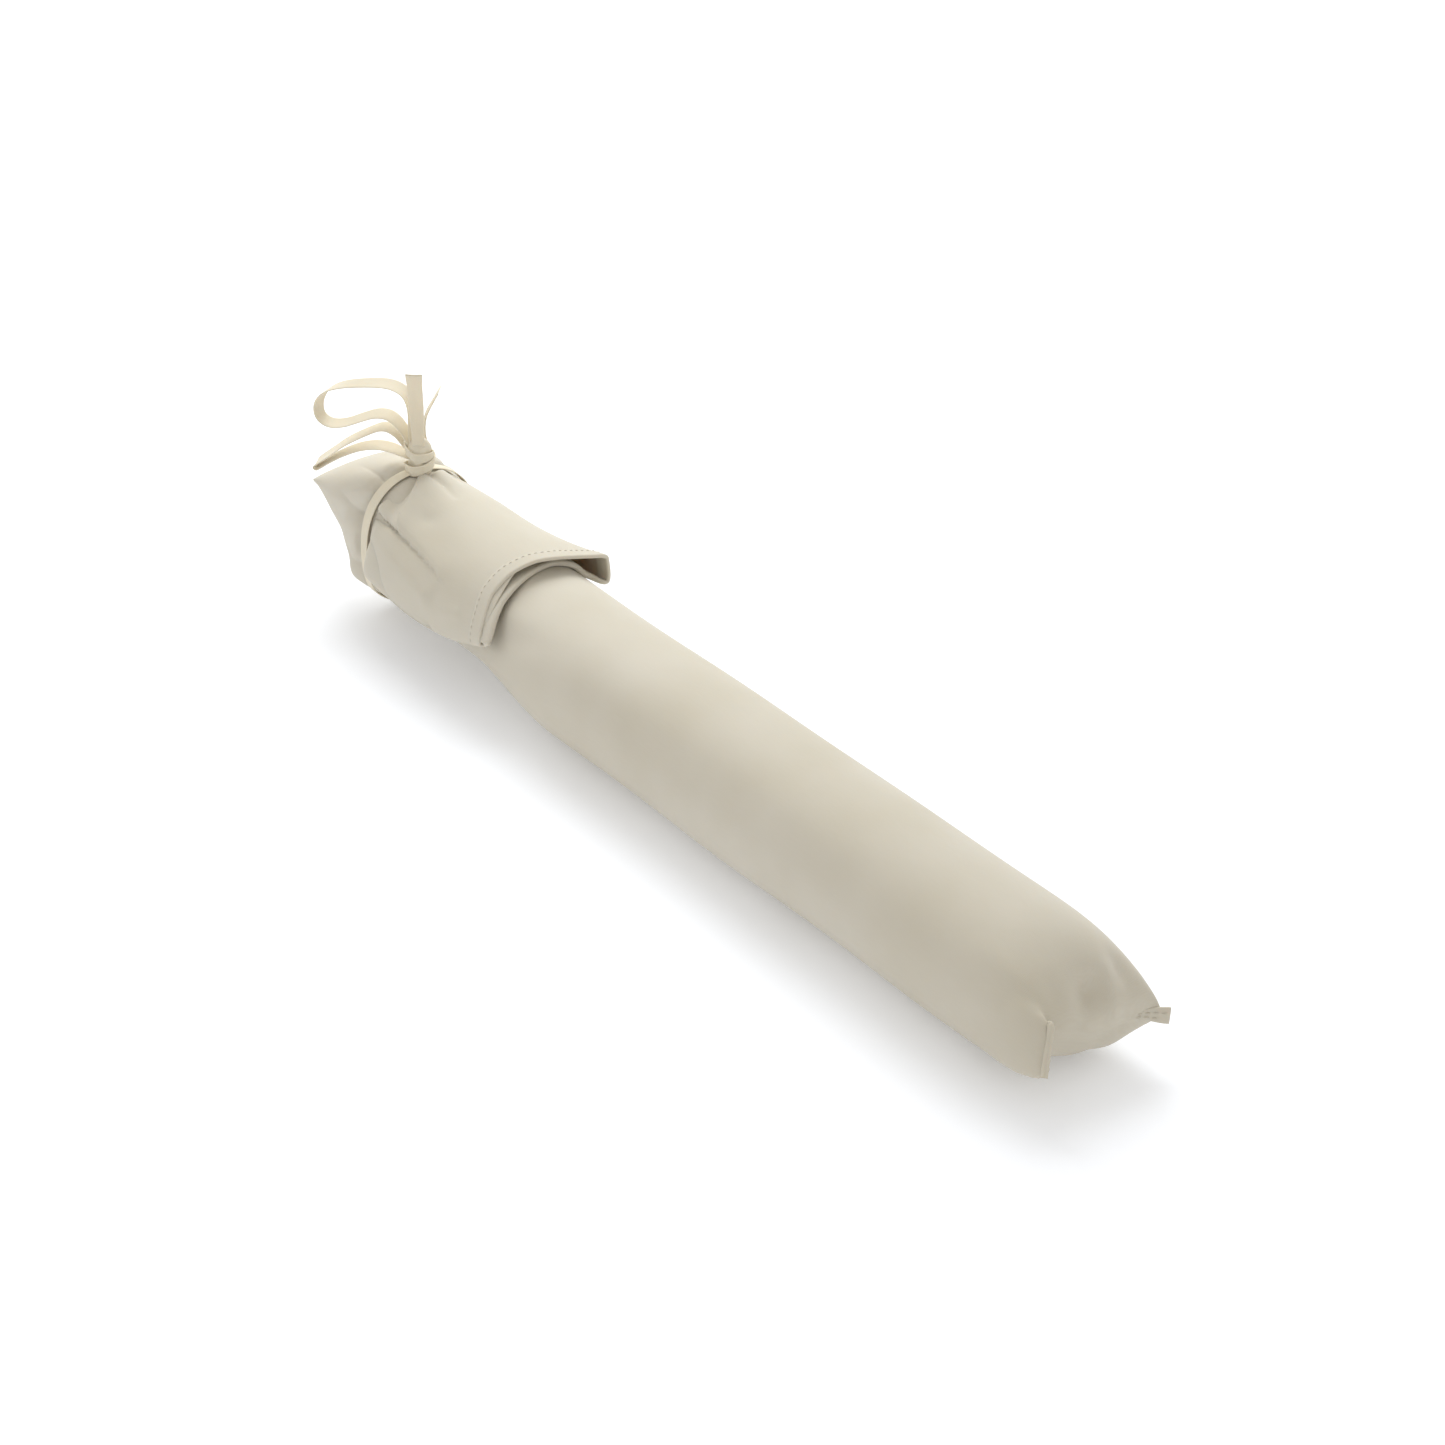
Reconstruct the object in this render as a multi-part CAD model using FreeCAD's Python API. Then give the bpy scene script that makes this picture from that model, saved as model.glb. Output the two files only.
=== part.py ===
"""Long herbal compress: a filled cotton bag, its open end folded back over it and tied with a tape bow.

Frame, in millimetres: +Z up, +X from the tied neck towards the sewn end, origin on the resting
surface under the middle of the straight body. -Y is the folded long side, +Y the sewn long side.
"""

import FreeCAD, Part
import os
from math import asin, cos, degrees, hypot, pi, sin, tan

V = FreeCAD.Vector

# Bag body
body_width = 74.0  # across Y
body_height = 66.0  # above the resting surface
flat_depth = 0.6  # how far the weight flattens the round underside
neck_reach = 262.0  # origin to the middle of the tie
end_reach = 275.0  # origin to the end seam
cloth = 0.9  # wall of the cover, one layer of heavy cotton with its seam allowance
end_taper = 70.0  # length over which the round body closes to the flat seam
end_bluntness = 5.0  # power of the end's closing curve
neck_taper = 26.0  # length over which the round body narrows to the tie

# End seam: a flat lip whose two corners stand out as ears
seam_half_width = 45.0
seam_height = 30.5
lip_thickness = 2.6
lip_depth = 4.5
near_ear_reach = 20.0
far_ear_reach = 9.0
seam_row_spacing = 1.6
thread = 0.6

# Neck: the empty cloth beyond the filling, folded up and back
neck_half_width = 32.0
neck_low = 6.0
neck_high = 78.0
neck_length = 66.0  # from the body's tied end to the fold
fold_half_width = 25.0
fold_height = 56.0
fold_thickness = 13.0
body_tie_offset = 6.0  # from the middle of the tie to where the filled body ends

# Flap: the bag's open mouth, two layers lying over the body
flap_gap = 1.5  # from the neck cloth to the flap
flap_length = 104.0
flap_clearance = 0.8  # over the body
flap_cloth_thickness = 1.0
flap_puff = 9.5  # how far the flap stands above the top of the body
mouth_puff = 10.5
flap_side = 3.6  # how far the flap's outside stands out from the body's side
hem_depth = 8.0
hem_thickness = 1.6

# Tape, tied round the neck in a bow
tape_width = 8.0
tape_thickness = 1.0
tape_clearance = 0.1
knot_width = 13.0
knot_height = 19.0  # above the top of the neck
knot_y = 2.0
knot_fillet = 4.0

# Filling
liner_gap = 0.5
liner_wall = 0.5
liner_reach = 222.0
liner_neck_radius = 9.0
liner_neck_length = 14.0
pack_count = 6
pack_gap = 0.6
pack_clearance = 0.5
pack_edge = 5.0

# Places that follow from the sizes above
half_width = body_width / 2
neck_x = -neck_reach
body_start = neck_x + body_tie_offset
flap_start = body_start + flap_gap
mouth_x = flap_start + flap_length
taper_start = end_reach - end_taper
body_middle = body_height / 2
ring_points = 20
arch_points = 15

# The tape's routes. Each is a list of points: distance out from the knot's axis, height above the neck.
upper_loop_route = [
    (4.0, 20.3), (2.8, 29.0), (3.0, 38.0), (6.5, 45.5), (15.0, 48.5), (28.0, 47.0),
    (41.0, 44.5), (50.5, 40.0), (55.5, 32.5), (55.0, 24.5), (49.0, 20.8), (40.5, 22.3),
    (31.0, 27.0), (22.0, 31.0), (14.5, 31.0), (9.3, 26.5), (7.2, 20.5),
]
lower_loop_route = [
    (8.5, 9.6), (14.0, 11.8), (22.0, 12.6), (31.5, 10.6), (41.5, 5.8), (50.0, 0.4),
    (54.6, -3.0), (57.4, -4.7), (58.6, -3.0), (55.2, -0.1), (49.0, 4.8), (40.5, 12.0),
    (29.0, 19.0), (19.0, 24.4), (12.6, 23.8), (9.3, 19.2),
]
front_tail_route = [
    (5.2, 20.3), (5.4, 29.8), (6.6, 40.0), (9.0, 50.2), (11.2, 59.0), (14.9, 67.3),
]
back_tail_route = [
    (8.2, 2.2), (11.8, 6.5), (13.0, 14.0), (11.2, 22.0), (9.6, 30.0), (10.4, 38.5), (13.6, 48.6),
]
loop_heading = (-0.8, -0.6)
front_tail_heading = (0.81, -0.586)
back_tail_heading = (0.0, 1.0)


def bag_section(x, inset=0.0):
    """Half width, lowest and highest Z of the bag's oval section at x, drawn in by inset."""
    width, low, high = half_width, -flat_depth, body_height
    if x > taper_start:
        u = (x - taper_start) / end_taper
        closing = max(1 - u**end_bluntness, 0.0) ** 0.5
        rise = max(body_middle * closing, lip_thickness / 2)
        middle = body_middle + (seam_height - body_middle) * u
        width += (seam_half_width - half_width) * u * u
        low, high = middle - rise, middle + rise
    elif x < body_start + neck_taper:
        u = 1 - (x - body_start) / neck_taper
        ease = u * u * (3 - 2 * u)
        width += (neck_half_width + 1 - half_width) * ease
        low += (neck_low - 2 + flat_depth) * ease
    if inset:
        low = max(low, 0.0) + inset
        high -= inset
        width -= inset
    return width, low, high


def stations(start, stop):
    """The X places of the sections from start to stop, closer together where the shape changes."""
    ends = [body_start + neck_taper * k / 4 for k in range(5)]
    ends += [taper_start + end_taper * u for u in (0.0, 0.4, 0.6, 0.75, 0.86, 0.94, 1.0)]
    between = [x for x in ends if start + 0.5 < x < stop - 0.5]
    return [start] + between + [stop]


def ring(x, width, low, high):
    """A closed oval wire across X."""
    middle, rise = (low + high) / 2, (high - low) / 2
    turns = [2 * pi * k / ring_points for k in range(ring_points)]
    curve = Part.BSplineCurve()
    curve.interpolate(
        Points=[V(x, width * cos(a), middle + rise * sin(a)) for a in turns], PeriodicFlag=True
    )
    return Part.Wire([curve.toShape()])


def ring_solid(sections):
    """A solid through (x, half width, low, high) sections."""
    return Part.makeLoft([ring(*section) for section in sections], True, True)


def bag_solid(start, stop, inset):
    """The bag's own shape between two X places, drawn in by inset."""
    return ring_solid([(x, *bag_section(x, inset)) for x in stations(start, stop)])


def box(x, y, z):
    """A box from (low, high) pairs."""
    return Part.makeBox(x[1] - x[0], y[1] - y[0], z[1] - z[0], V(x[0], y[0], z[0]))


def bag_body():
    """The cover: a shell, flat underneath, open at the tied end."""
    outside = bag_solid(body_start, end_reach, 0.0)
    reach = end_reach + neck_reach
    outside = outside.common(box((-reach, reach), (-body_width, body_width), (0, 2 * body_height)))
    inside = bag_solid(body_start, taper_start + 0.86 * end_taper, cloth)
    return outside.cut(inside)


def end_seam_lip():
    """The turned seam across the sewn end, with an ear at each corner."""
    low = seam_height - lip_thickness / 2
    w = seam_half_width
    edge = Part.BSplineCurve()
    edge.interpolate([
        V(end_reach + near_ear_reach, -w, low),
        V(end_reach + 0.6 * near_ear_reach, -0.8 * w, low),
        V(end_reach + lip_depth, -0.45 * w, low),
        V(end_reach + lip_depth, 0.45 * w, low),
        V(end_reach + far_ear_reach, w, low),
    ])
    corners = [
        V(end_reach + far_ear_reach, w, low),
        V(end_reach, w, low),
        V(end_reach, -w, low),
        V(end_reach + near_ear_reach, -w, low),
    ]
    sides = [Part.LineSegment(a, b).toShape() for a, b in zip(corners, corners[1:])]
    outline = Part.Wire(Part.__sortEdges__([edge.toShape()] + sides))
    return Part.Face(outline).extrude(V(0, 0, lip_thickness))


def end_seam_stitching():
    """Two rows of thread through the lip."""
    reach = 0.8 * seam_half_width
    half = lip_thickness / 2 + thread / 2
    rows = []
    for k in (1, 2):
        x = end_reach + k * seam_row_spacing - thread / 2
        rows.append(box((x, x + thread), (-reach, reach), (seam_height - half, seam_height + half)))
    return Part.makeCompound(rows)


def side_seam_stitching():
    """The thread line along the sewn long side, on the straight stretch."""
    y, z = half_width, (body_height - flat_depth) / 2
    return box(
        (body_start + neck_taper, taper_start),
        (y - thread / 2, y + thread / 2),
        (z - thread / 2, z + thread / 2),
    )


def neck_cloth():
    """The gathered neck under the tie and the empty end folded up beyond it."""
    straight = 2 * body_tie_offset
    full = (neck_half_width, neck_low, neck_high)
    fold = (fold_half_width, fold_height - fold_thickness / 2, fold_height + fold_thickness / 2)
    sections = [(body_start, *full), (body_start - straight, *full)]
    for share in (0.3, 0.55, 0.75, 0.9, 1.0):
        x = body_start - straight - share * (neck_length - straight)
        bend = 0.5 - 0.5 * cos(pi * share)
        narrowing = share**3
        width = full[0] + (fold[0] - full[0]) * narrowing
        sections.append((x, width, *(a + (b - a) * bend for a, b in zip(full[1:], fold[1:]))))
    return ring_solid(sections)


def band_ring(outset, length=tape_width):
    """The oval prism round the neck at the tie, standing out by outset."""
    start, stop = neck_x - length / 2, neck_x + length / 2
    sides = (neck_half_width + outset, neck_low - outset, neck_high + outset)
    return ring_solid([(start, *sides), (stop, *sides)])


def tie_band():
    """The tape round the neck."""
    return band_ring(tape_clearance + tape_thickness).cut(band_ring(tape_clearance))


def tie_knot():
    """The knot, seated on the tape over the neck."""
    seat = neck_high - tape_thickness
    half = knot_width / 2
    top = neck_high + knot_height
    block = box((neck_x - half, neck_x + half), (knot_y - half, knot_y + half), (seat, top))
    block = block.makeFillet(knot_fillet, [e for e in block.Edges if e.BoundBox.ZMax > seat + 1])
    return block.cut(band_ring(tape_clearance + tape_thickness, knot_width))


def arch_point(x, width, middle, top, angle):
    """A point on the arch: half an oval from angle 0 to pi, and straight down beyond both."""
    rise = top - middle
    if angle < 0:
        return V(x, -width, middle + rise * angle)
    if angle > pi:
        return V(x, width, middle - rise * (angle - pi))
    return V(x, -width * cos(angle), middle + rise * sin(angle))


def arch_angle(middle, top, z):
    """The angle at which the arch's near side passes height z."""
    share = (z - middle) / (top - middle)
    return share if share < 0 else asin(share)


def arch_curve(x, width, top, edges, inset=0.0):
    """An open curve over the body from the near edge to the far edge."""
    start = arch_angle(body_middle, top, edges[0] + inset)
    stop = pi - arch_angle(body_middle, top, edges[1] + inset)
    steps = [start + (stop - start) * k / (arch_points - 1) for k in range(arch_points)]
    curve = Part.BSplineCurve()
    curve.interpolate([arch_point(x, width, body_middle, top, a) for a in steps])
    return curve


def arch_band(x, inner, outer, edges, inset=0.0):
    """The closed outline between two arches, each a (half width, top) pair."""
    low = arch_curve(x, *inner, edges, inset).toShape()
    high = arch_curve(x, *outer, edges, inset).toShape()
    ends = [
        Part.LineSegment(low.valueAt(t), high.valueAt(s)).toShape()
        for t, s in ((low.FirstParameter, high.FirstParameter), (low.LastParameter, high.LastParameter))
    ]
    return Part.Wire(Part.__sortEdges__([low, ends[1], high, ends[0]]))


def flap_stations():
    """(x, half width, top, near edge height, far edge height) of the flap's outside."""
    side, middle = half_width + flap_side, body_middle
    top, mouth_top = body_height + flap_puff, body_height + mouth_puff
    return [
        (flap_start, side - 3.0, neck_high - 0.5, middle + 17, middle + 19),
        (flap_start + 0.16 * flap_length, side - 0.4, top + 0.8, middle + 3, middle + 14),
        (flap_start + 0.47 * flap_length, side, top, middle - 6, middle + 12),
        (mouth_x - hem_depth, side + 0.6, mouth_top - 0.3, middle - 2, middle + 17),
        (mouth_x, side + 0.8, mouth_top, middle + 3, middle + 21),
    ]


def flap_lining(x, inset):
    """Half width and top of the surface that lies over the body, inset above it."""
    width = half_width + flap_clearance + inset
    if x < flap_start + 1:
        width -= 3.0
    return width, body_height + flap_clearance + inset


def flap_layers(first, last, wall, stations_used):
    """The two layers of cloth, joined along both sides, between two of the flap's stations."""
    outside, pocket = [], []
    for x, width, top, near, far in stations_used[first : last + 1]:
        edges = (near, far)
        outside.append(arch_band(x, flap_lining(x, 0.0), (width, top), edges))
        if x > flap_start + 1:
            pocket.append(arch_band(x, flap_lining(x, wall), (width - wall, top - wall), edges, wall))
    return Part.makeLoft(outside, True, True).cut(Part.makeLoft(pocket, True, True))


def flap_cloth():
    """The two layers of the bag's empty mouth, without their hem."""
    return flap_layers(0, 3, flap_cloth_thickness, flap_stations())


def mouth_hem():
    """The turned hem round the mouth."""
    return flap_layers(3, 4, hem_thickness, flap_stations())


def hem_stitching():
    """One thread line round the outside of the hem and one along its lower layer."""
    near_end, far_end = flap_stations()[3:]
    share = 0.2
    x = near_end[0] + share * (far_end[0] - near_end[0])
    width, top, near, far = (a + share * (b - a) for a, b in zip(near_end[1:], far_end[1:]))
    half = thread / 2
    rows = []
    for side, height in ((width, top), flap_lining(x, half - 0.1)):
        inner, outer = (side - half, height - half), (side + half, height + half)
        band = arch_band(x, inner, outer, (near + 4, far + 4))
        rows.append(Part.Face(band).extrude(V(thread, 0, 0)))
    return Part.makeCompound(rows)


def bend(before, corner, after):
    """Where the arc at a route's corner starts and stops, its centre and its radius."""
    runs = [(corner[k] - before[k], after[k] - corner[k]) for k in (0, 1)]
    into, out = (runs[0][0], runs[1][0]), (runs[0][1], runs[1][1])
    lengths = hypot(*into), hypot(*out)
    into = [c / lengths[0] for c in into]
    out = [c / lengths[1] for c in out]
    half_turn = asin(min(hypot(out[0] - into[0], out[1] - into[1]) / 2, 1.0))
    cut_back = 0.45 * min(lengths)
    radius = cut_back / tan(half_turn)
    side = 1 if into[0] * out[1] - into[1] * out[0] > 0 else -1
    start = [corner[k] - cut_back * into[k] for k in (0, 1)]
    stop = [corner[k] + cut_back * out[k] for k in (0, 1)]
    centre = [start[0] - side * radius * into[1], start[1] + side * radius * into[0]]
    return start, stop, centre, radius, side, half_turn


def route_line(route, shift, place):
    """The edges of a route of straight runs and tangent arcs, moved sideways by shift."""
    edges, spot, direction = [], None, None
    first, second = route[0], route[1]
    length = hypot(second[0] - first[0], second[1] - first[1])
    normal = ((first[1] - second[1]) / length, (second[0] - first[0]) / length)
    spot = (first[0] + shift * normal[0], first[1] + shift * normal[1])
    for before, corner, after in zip(route, route[1:], route[2:]):
        start, stop, centre, radius, side, half_turn = bend(before, corner, after)
        scale = (radius - side * shift) / radius
        start = [centre[k] + scale * (start[k] - centre[k]) for k in (0, 1)]
        stop = [centre[k] + scale * (stop[k] - centre[k]) for k in (0, 1)]
        reach = hypot(corner[0] - centre[0], corner[1] - centre[1])
        middle = [centre[k] + scale * radius * (corner[k] - centre[k]) / reach for k in (0, 1)]
        edges.append(Part.LineSegment(place(*spot), place(*start)).toShape())
        edges.append(Part.Arc(place(*start), place(*middle), place(*stop)).toShape())
        spot = stop
    last, previous = route[-1], route[-2]
    length = hypot(last[0] - previous[0], last[1] - previous[1])
    normal = ((previous[1] - last[1]) / length, (last[0] - previous[0]) / length)
    end = (last[0] + shift * normal[0], last[1] + shift * normal[1])
    edges.append(Part.LineSegment(place(*spot), place(*end)).toShape())
    return edges


def tape_strip(name, route, heading):
    """A flat tape along a route that stands in the upright plane of the heading."""
    across = V(-heading[1], heading[0], 0) * tape_width

    def place(out, height):
        return V(neck_x + out * heading[0], knot_y + out * heading[1], neck_high + height) - across / 2

    left = route_line(route, tape_thickness / 2, place)
    right = route_line(route, -tape_thickness / 2, place)
    caps = [
        Part.LineSegment(left[0].firstVertex().Point, right[0].firstVertex().Point).toShape(),
        Part.LineSegment(left[-1].lastVertex().Point, right[-1].lastVertex().Point).toShape(),
    ]
    outline = Part.Wire(Part.__sortEdges__(left + right + caps))
    strip = Part.Face(outline).extrude(across)
    middle = sum(edge.Length for edge in route_line(route, 0.0, place))
    radii = [bend(*corner)[3] for corner in zip(route, route[1:], route[2:])]
    turns = [2 * degrees(bend(*corner)[5]) for corner in zip(route, route[1:], route[2:])]
    section = tape_width * tape_thickness
    print(f"{name}: length {middle:.1f}, volume / (section x length) {strip.Volume / section / middle:.3f}")
    print(f"  radii {[round(r, 1) for r in radii]}, turns {[round(t) for t in turns]}")
    return strip


def liner_inset():
    """From the bag's outside to the liner's outside."""
    return cloth + liner_gap


def liner_sleeve():
    """The muslin sleeve round the filling, gathered to a neck at each end."""
    outside = bag_solid(-liner_reach, liner_reach, liner_inset())
    inside = bag_solid(-liner_reach + liner_wall, liner_reach - liner_wall, liner_inset() + liner_wall)
    sleeve = outside.cut(inside)
    for side in (-1, 1):
        sleeve = sleeve.fuse(
            Part.makeCylinder(
                liner_neck_radius, liner_neck_length, V(side * liner_reach, 0, body_middle), V(side, 0, 0)
            )
        )
    return sleeve


def liner_ties():
    """The thread wound round each gathered neck of the liner."""
    rings = []
    for side in (-1, 1):
        start = V(side * (liner_reach + liner_neck_length / 2), 0, body_middle)
        outer = Part.makeCylinder(liner_neck_radius + 2 * thread, 3, start, V(side, 0, 0))
        inner = Part.makeCylinder(liner_neck_radius, 3, start, V(side, 0, 0))
        rings.append(outer.cut(inner))
    return Part.makeCompound(rings)


def herb_pack(index):
    """One packet of the filling, its edges eased."""
    inset = liner_inset() + liner_wall + pack_clearance
    room = 2 * (liner_reach - liner_wall - pack_clearance)
    pitch = room / pack_count
    start = -room / 2 + index * pitch + pack_gap / 2
    stop = start + pitch - pack_gap
    sections = []
    for x, ease in ((start, pack_edge), (start + pack_edge, 0), (stop - pack_edge, 0), (stop, pack_edge)):
        sections.append((x, *bag_section(x, inset + ease)))
    return ring_solid(sections)


def parts():
    """Every node of the model, by name."""
    nodes = {
        "bag_body": bag_body(),
        "end_seam_lip": end_seam_lip(),
        "end_seam_stitching": end_seam_stitching(),
        "side_seam_stitching": side_seam_stitching(),
        "neck_cloth": neck_cloth(),
        "tie_band": tie_band(),
        "tie_knot": tie_knot(),
        "flap_cloth": flap_cloth(),
        "mouth_hem": mouth_hem(),
        "hem_stitching": hem_stitching(),
        "bow_loop_upper": tape_strip("bow_loop_upper", upper_loop_route, loop_heading),
        "bow_loop_lower": tape_strip("bow_loop_lower", lower_loop_route, loop_heading),
        "tape_tail_front": tape_strip("tape_tail_front", front_tail_route, front_tail_heading),
        "tape_tail_back": tape_strip("tape_tail_back", back_tail_route, back_tail_heading),
        "liner_sleeve": liner_sleeve(),
        "liner_ties": liner_ties(),
    }
    for index in range(pack_count):
        nodes[f"herb_pack_{index + 1}"] = herb_pack(index)
    return nodes


os.makedirs("parts", exist_ok=True)
for name, shape in parts().items():
    assert shape.isValid(), name
    bounds = shape.BoundBox
    print(
        f"{name}: {len(shape.Solids)} solids, {shape.Volume:.0f} mm3, "
        f"X {bounds.XMin:.1f} {bounds.XMax:.1f} Y {bounds.YMin:.1f} {bounds.YMax:.1f} "
        f"Z {bounds.ZMin:.1f} {bounds.ZMax:.1f}"
    )
    shape.exportStep(f"parts/{name}.step")
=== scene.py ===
"""Long herbal compress in an undyed cotton bag, its mouth folded back over the filled body and tied
with a tape bow."""

from math import pi, radians

import bpy
import numpy as np
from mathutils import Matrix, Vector


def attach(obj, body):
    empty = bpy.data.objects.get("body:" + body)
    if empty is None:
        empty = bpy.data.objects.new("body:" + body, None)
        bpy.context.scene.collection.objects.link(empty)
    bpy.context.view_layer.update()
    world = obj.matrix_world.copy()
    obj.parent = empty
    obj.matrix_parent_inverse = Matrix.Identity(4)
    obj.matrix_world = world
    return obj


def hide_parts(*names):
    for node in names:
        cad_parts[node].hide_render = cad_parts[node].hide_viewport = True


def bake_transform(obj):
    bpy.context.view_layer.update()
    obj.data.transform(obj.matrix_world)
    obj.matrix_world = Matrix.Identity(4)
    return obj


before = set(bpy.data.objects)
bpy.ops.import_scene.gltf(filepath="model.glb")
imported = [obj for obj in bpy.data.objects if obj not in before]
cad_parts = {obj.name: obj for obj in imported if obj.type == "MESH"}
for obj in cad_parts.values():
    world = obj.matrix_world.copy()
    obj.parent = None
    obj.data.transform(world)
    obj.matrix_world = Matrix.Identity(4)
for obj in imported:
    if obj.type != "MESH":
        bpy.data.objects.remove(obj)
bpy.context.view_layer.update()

bl_info = {
    "name": "Long herbal compress",
    "version": (1, 0, 0),
    "blender": (4, 5, 0),
    "location": "3D View > Sidebar > Compress",
    "description": "Builds the cotton cover, its sewn end, the folded mouth and the tape bow",
    "category": "Add Mesh",
}

MM = 0.001

# Places in millimetres, in the part's frame: +X to the sewn end, +Z up.
TIE_X = -262.0
KNOT = (TIE_X, 2.0)
BODY_START = -256.0
TAPER_START = 205.0
HEM_START = -158.0
MOUTH_X = -149.0
# The body's and the neck's ovals: half width, lowest, middle and highest, and the power of their rounding.
BODY_HALF_WIDTH = 37.0
BODY_LOW = -0.6
BODY_MIDDLE = 33.0
BODY_HIGH = 66.0
BODY_POWER = 0.9
NECK_HALF_WIDTH = 32.0
NECK_LOW = 6.0
NECK_MIDDLE = 42.0
NECK_TOP = 78.0
NECK_POWER = 0.85

# The tape's routes: distance out from the knot's axis, height above the neck.
UPPER_LOOP = [
    (2.4, 15.5), (3.2, 20.3), (2.8, 29.0), (3.0, 38.0), (6.5, 45.5), (15.0, 48.5), (28.0, 47.0),
    (41.0, 44.5), (50.5, 40.0), (55.5, 32.5), (55.0, 24.5), (49.0, 20.8), (40.5, 22.3),
    (31.0, 27.0), (22.0, 31.0), (14.5, 30.6), (8.8, 25.5), (5.6, 19.0), (4.0, 15.5),
]
LOWER_LOOP = [
    (4.0, 8.6), (8.5, 9.6), (14.0, 11.8), (22.0, 12.6), (31.5, 10.6), (41.5, 5.8), (50.0, 0.4),
    (54.6, -3.0), (57.4, -4.7), (58.6, -3.0), (55.2, -0.1), (49.0, 4.8), (40.5, 12.0),
    (29.0, 19.0), (19.0, 24.4), (12.0, 22.0), (8.0, 16.2), (4.4, 11.8),
]
FRONT_TAIL = [(3.2, 13.5), (5.0, 20.3), (5.4, 29.8), (6.6, 39.0), (8.6, 47.4), (10.2, 54.0), (13.0, 61.2)]
BACK_TAIL = [(2.0, 1.0), (4.8, 6.5), (6.2, 13.5), (6.2, 22.0), (6.8, 30.0), (8.4, 37.5), (10.6, 45.4)]
# How far the back tail stands aside, along the bag, at each place of its route.
BACK_ASIDE = [0.0, -1.5, -3.4, -4.6, -3.0, 0.6, 4.6]
# Across directions of the tape at even shares of its length: cloth tape turns a little as it goes.
LOOP_ACROSS = [
    (0.15, -0.98, -0.05), (0.35, -0.92, -0.2), (0.58, -0.77, -0.32), (0.5, -0.84, -0.2), (0.28, -0.95, 0.0),
    (0.5, -0.84, -0.25), (0.55, -0.78, -0.35), (0.5, -0.8, -0.3), (0.4, -0.9, -0.1),
]
LOWER_ACROSS = [
    (0.6, -0.8, -0.2), (0.58, -0.77, -0.3), (0.55, -0.8, -0.3), (0.58, -0.77, -0.3), (0.6, -0.8, -0.2),
]
FRONT_ACROSS = [(0.586, 0.81, 0.0), (0.56, 0.83, 0.0), (0.6, 0.8, 0.05), (0.64, 0.77, 0.1)]
BACK_ACROSS = [(1.0, 0.1, 0.0), (0.95, -0.3, 0.0), (0.85, -0.5, 0.0), (0.8, -0.6, 0.1)]
# piece, CAD node, body, route, heading, across directions, length, far end
TAPES = [
    ("loop_upper", "bow_loop_upper", "upper_loop", UPPER_LOOP, (-0.8, -0.6), LOOP_ACROSS, 0.150, "object"),
    ("loop_lower", "bow_loop_lower", "lower_loop", LOWER_LOOP, (-0.8, -0.6), LOWER_ACROSS, 0.122, "object"),
    ("tail_front", "tape_tail_front", "front_tail", FRONT_TAIL, (0.81, -0.586), FRONT_ACROSS, 0.0484, "bare"),
    ("tail_back", "tape_tail_back", "back_tail", BACK_TAIL, (0.0, 1.0), BACK_ACROSS, 0.0484, "bare"),
]
# The knot's two turns of tape: low, high, start and sweep round it in radians, reach, width, thickness.
KNOT_TURNS = [(2.6, 8.4, -2.6, 5.2, 6.9, 7.4, 1.5), (14.6, 9.8, -3.3, 4.6, 6.6, 6.6, 1.5)]


# ---------------------------------------------------------------- shapes


def through(count, samples, closed=False):
    """Weights that carry a smooth line through count points: a Catmull-Rom cubic, whose value
    between two points is the cubic that has each point's slope from its two neighbours."""
    t = np.asarray(samples, float) * (count if closed else count - 1)
    i = np.minimum(np.floor(t).astype(int), count - (1 if closed else 2))
    f = t - i
    parts = (
        (-f + 2 * f**2 - f**3) / 2,
        (2 - 5 * f**2 + 3 * f**3) / 2,
        (f + 4 * f**2 - 3 * f**3) / 2,
        (f**3 - f**2) / 2,
    )
    weights = np.zeros((len(t), count))
    rows = np.arange(len(t))
    for shift, part in zip((-1, 0, 1, 2), parts):
        column = i + shift
        if closed:
            np.add.at(weights, (rows, column % count), part)
            continue
        for outside, end, inner in ((column < 0, 0, 1), (column >= count, count - 1, count - 2)):
            np.add.at(weights, (rows[outside], end), 2 * part[outside])
            np.add.at(weights, (rows[outside], inner), -part[outside])
        inside = (column >= 0) & (column < count)
        np.add.at(weights, (rows[inside], column[inside]), part[inside])
    return weights


def line_through(points, share):
    """The smooth line through the points, read at shares of the way along it, 0 to 1."""
    return through(len(points), share) @ np.array(points)


def unit(vectors):
    """Each vector divided by its length."""
    return vectors / np.linalg.norm(vectors, axis=-1, keepdims=True)


def signed_power(wave, power):
    """A sine or cosine raised to a power with its sign kept: below one, it squares up a round section."""
    return np.sign(wave) * np.abs(wave) ** power


def smooth(low, high, x):
    """0 below low, 1 above high, and the cubic 3t^2 - 2t^3 between."""
    t = np.clip((x - low) / (high - low), 0, 1)
    return t * t * (3 - 2 * t)


def grid_normals(points, closed):
    """Unit normals of a grid of points: the cross product of its two central differences."""
    along = np.gradient(points, axis=0)
    if closed:
        round_it = np.roll(points, -1, axis=1) - np.roll(points, 1, axis=1)
    else:
        round_it = np.gradient(points, axis=1)
    normal = np.cross(round_it, along)
    return normal / np.maximum(np.linalg.norm(normal, axis=-1, keepdims=True), 1e-12)


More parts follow.
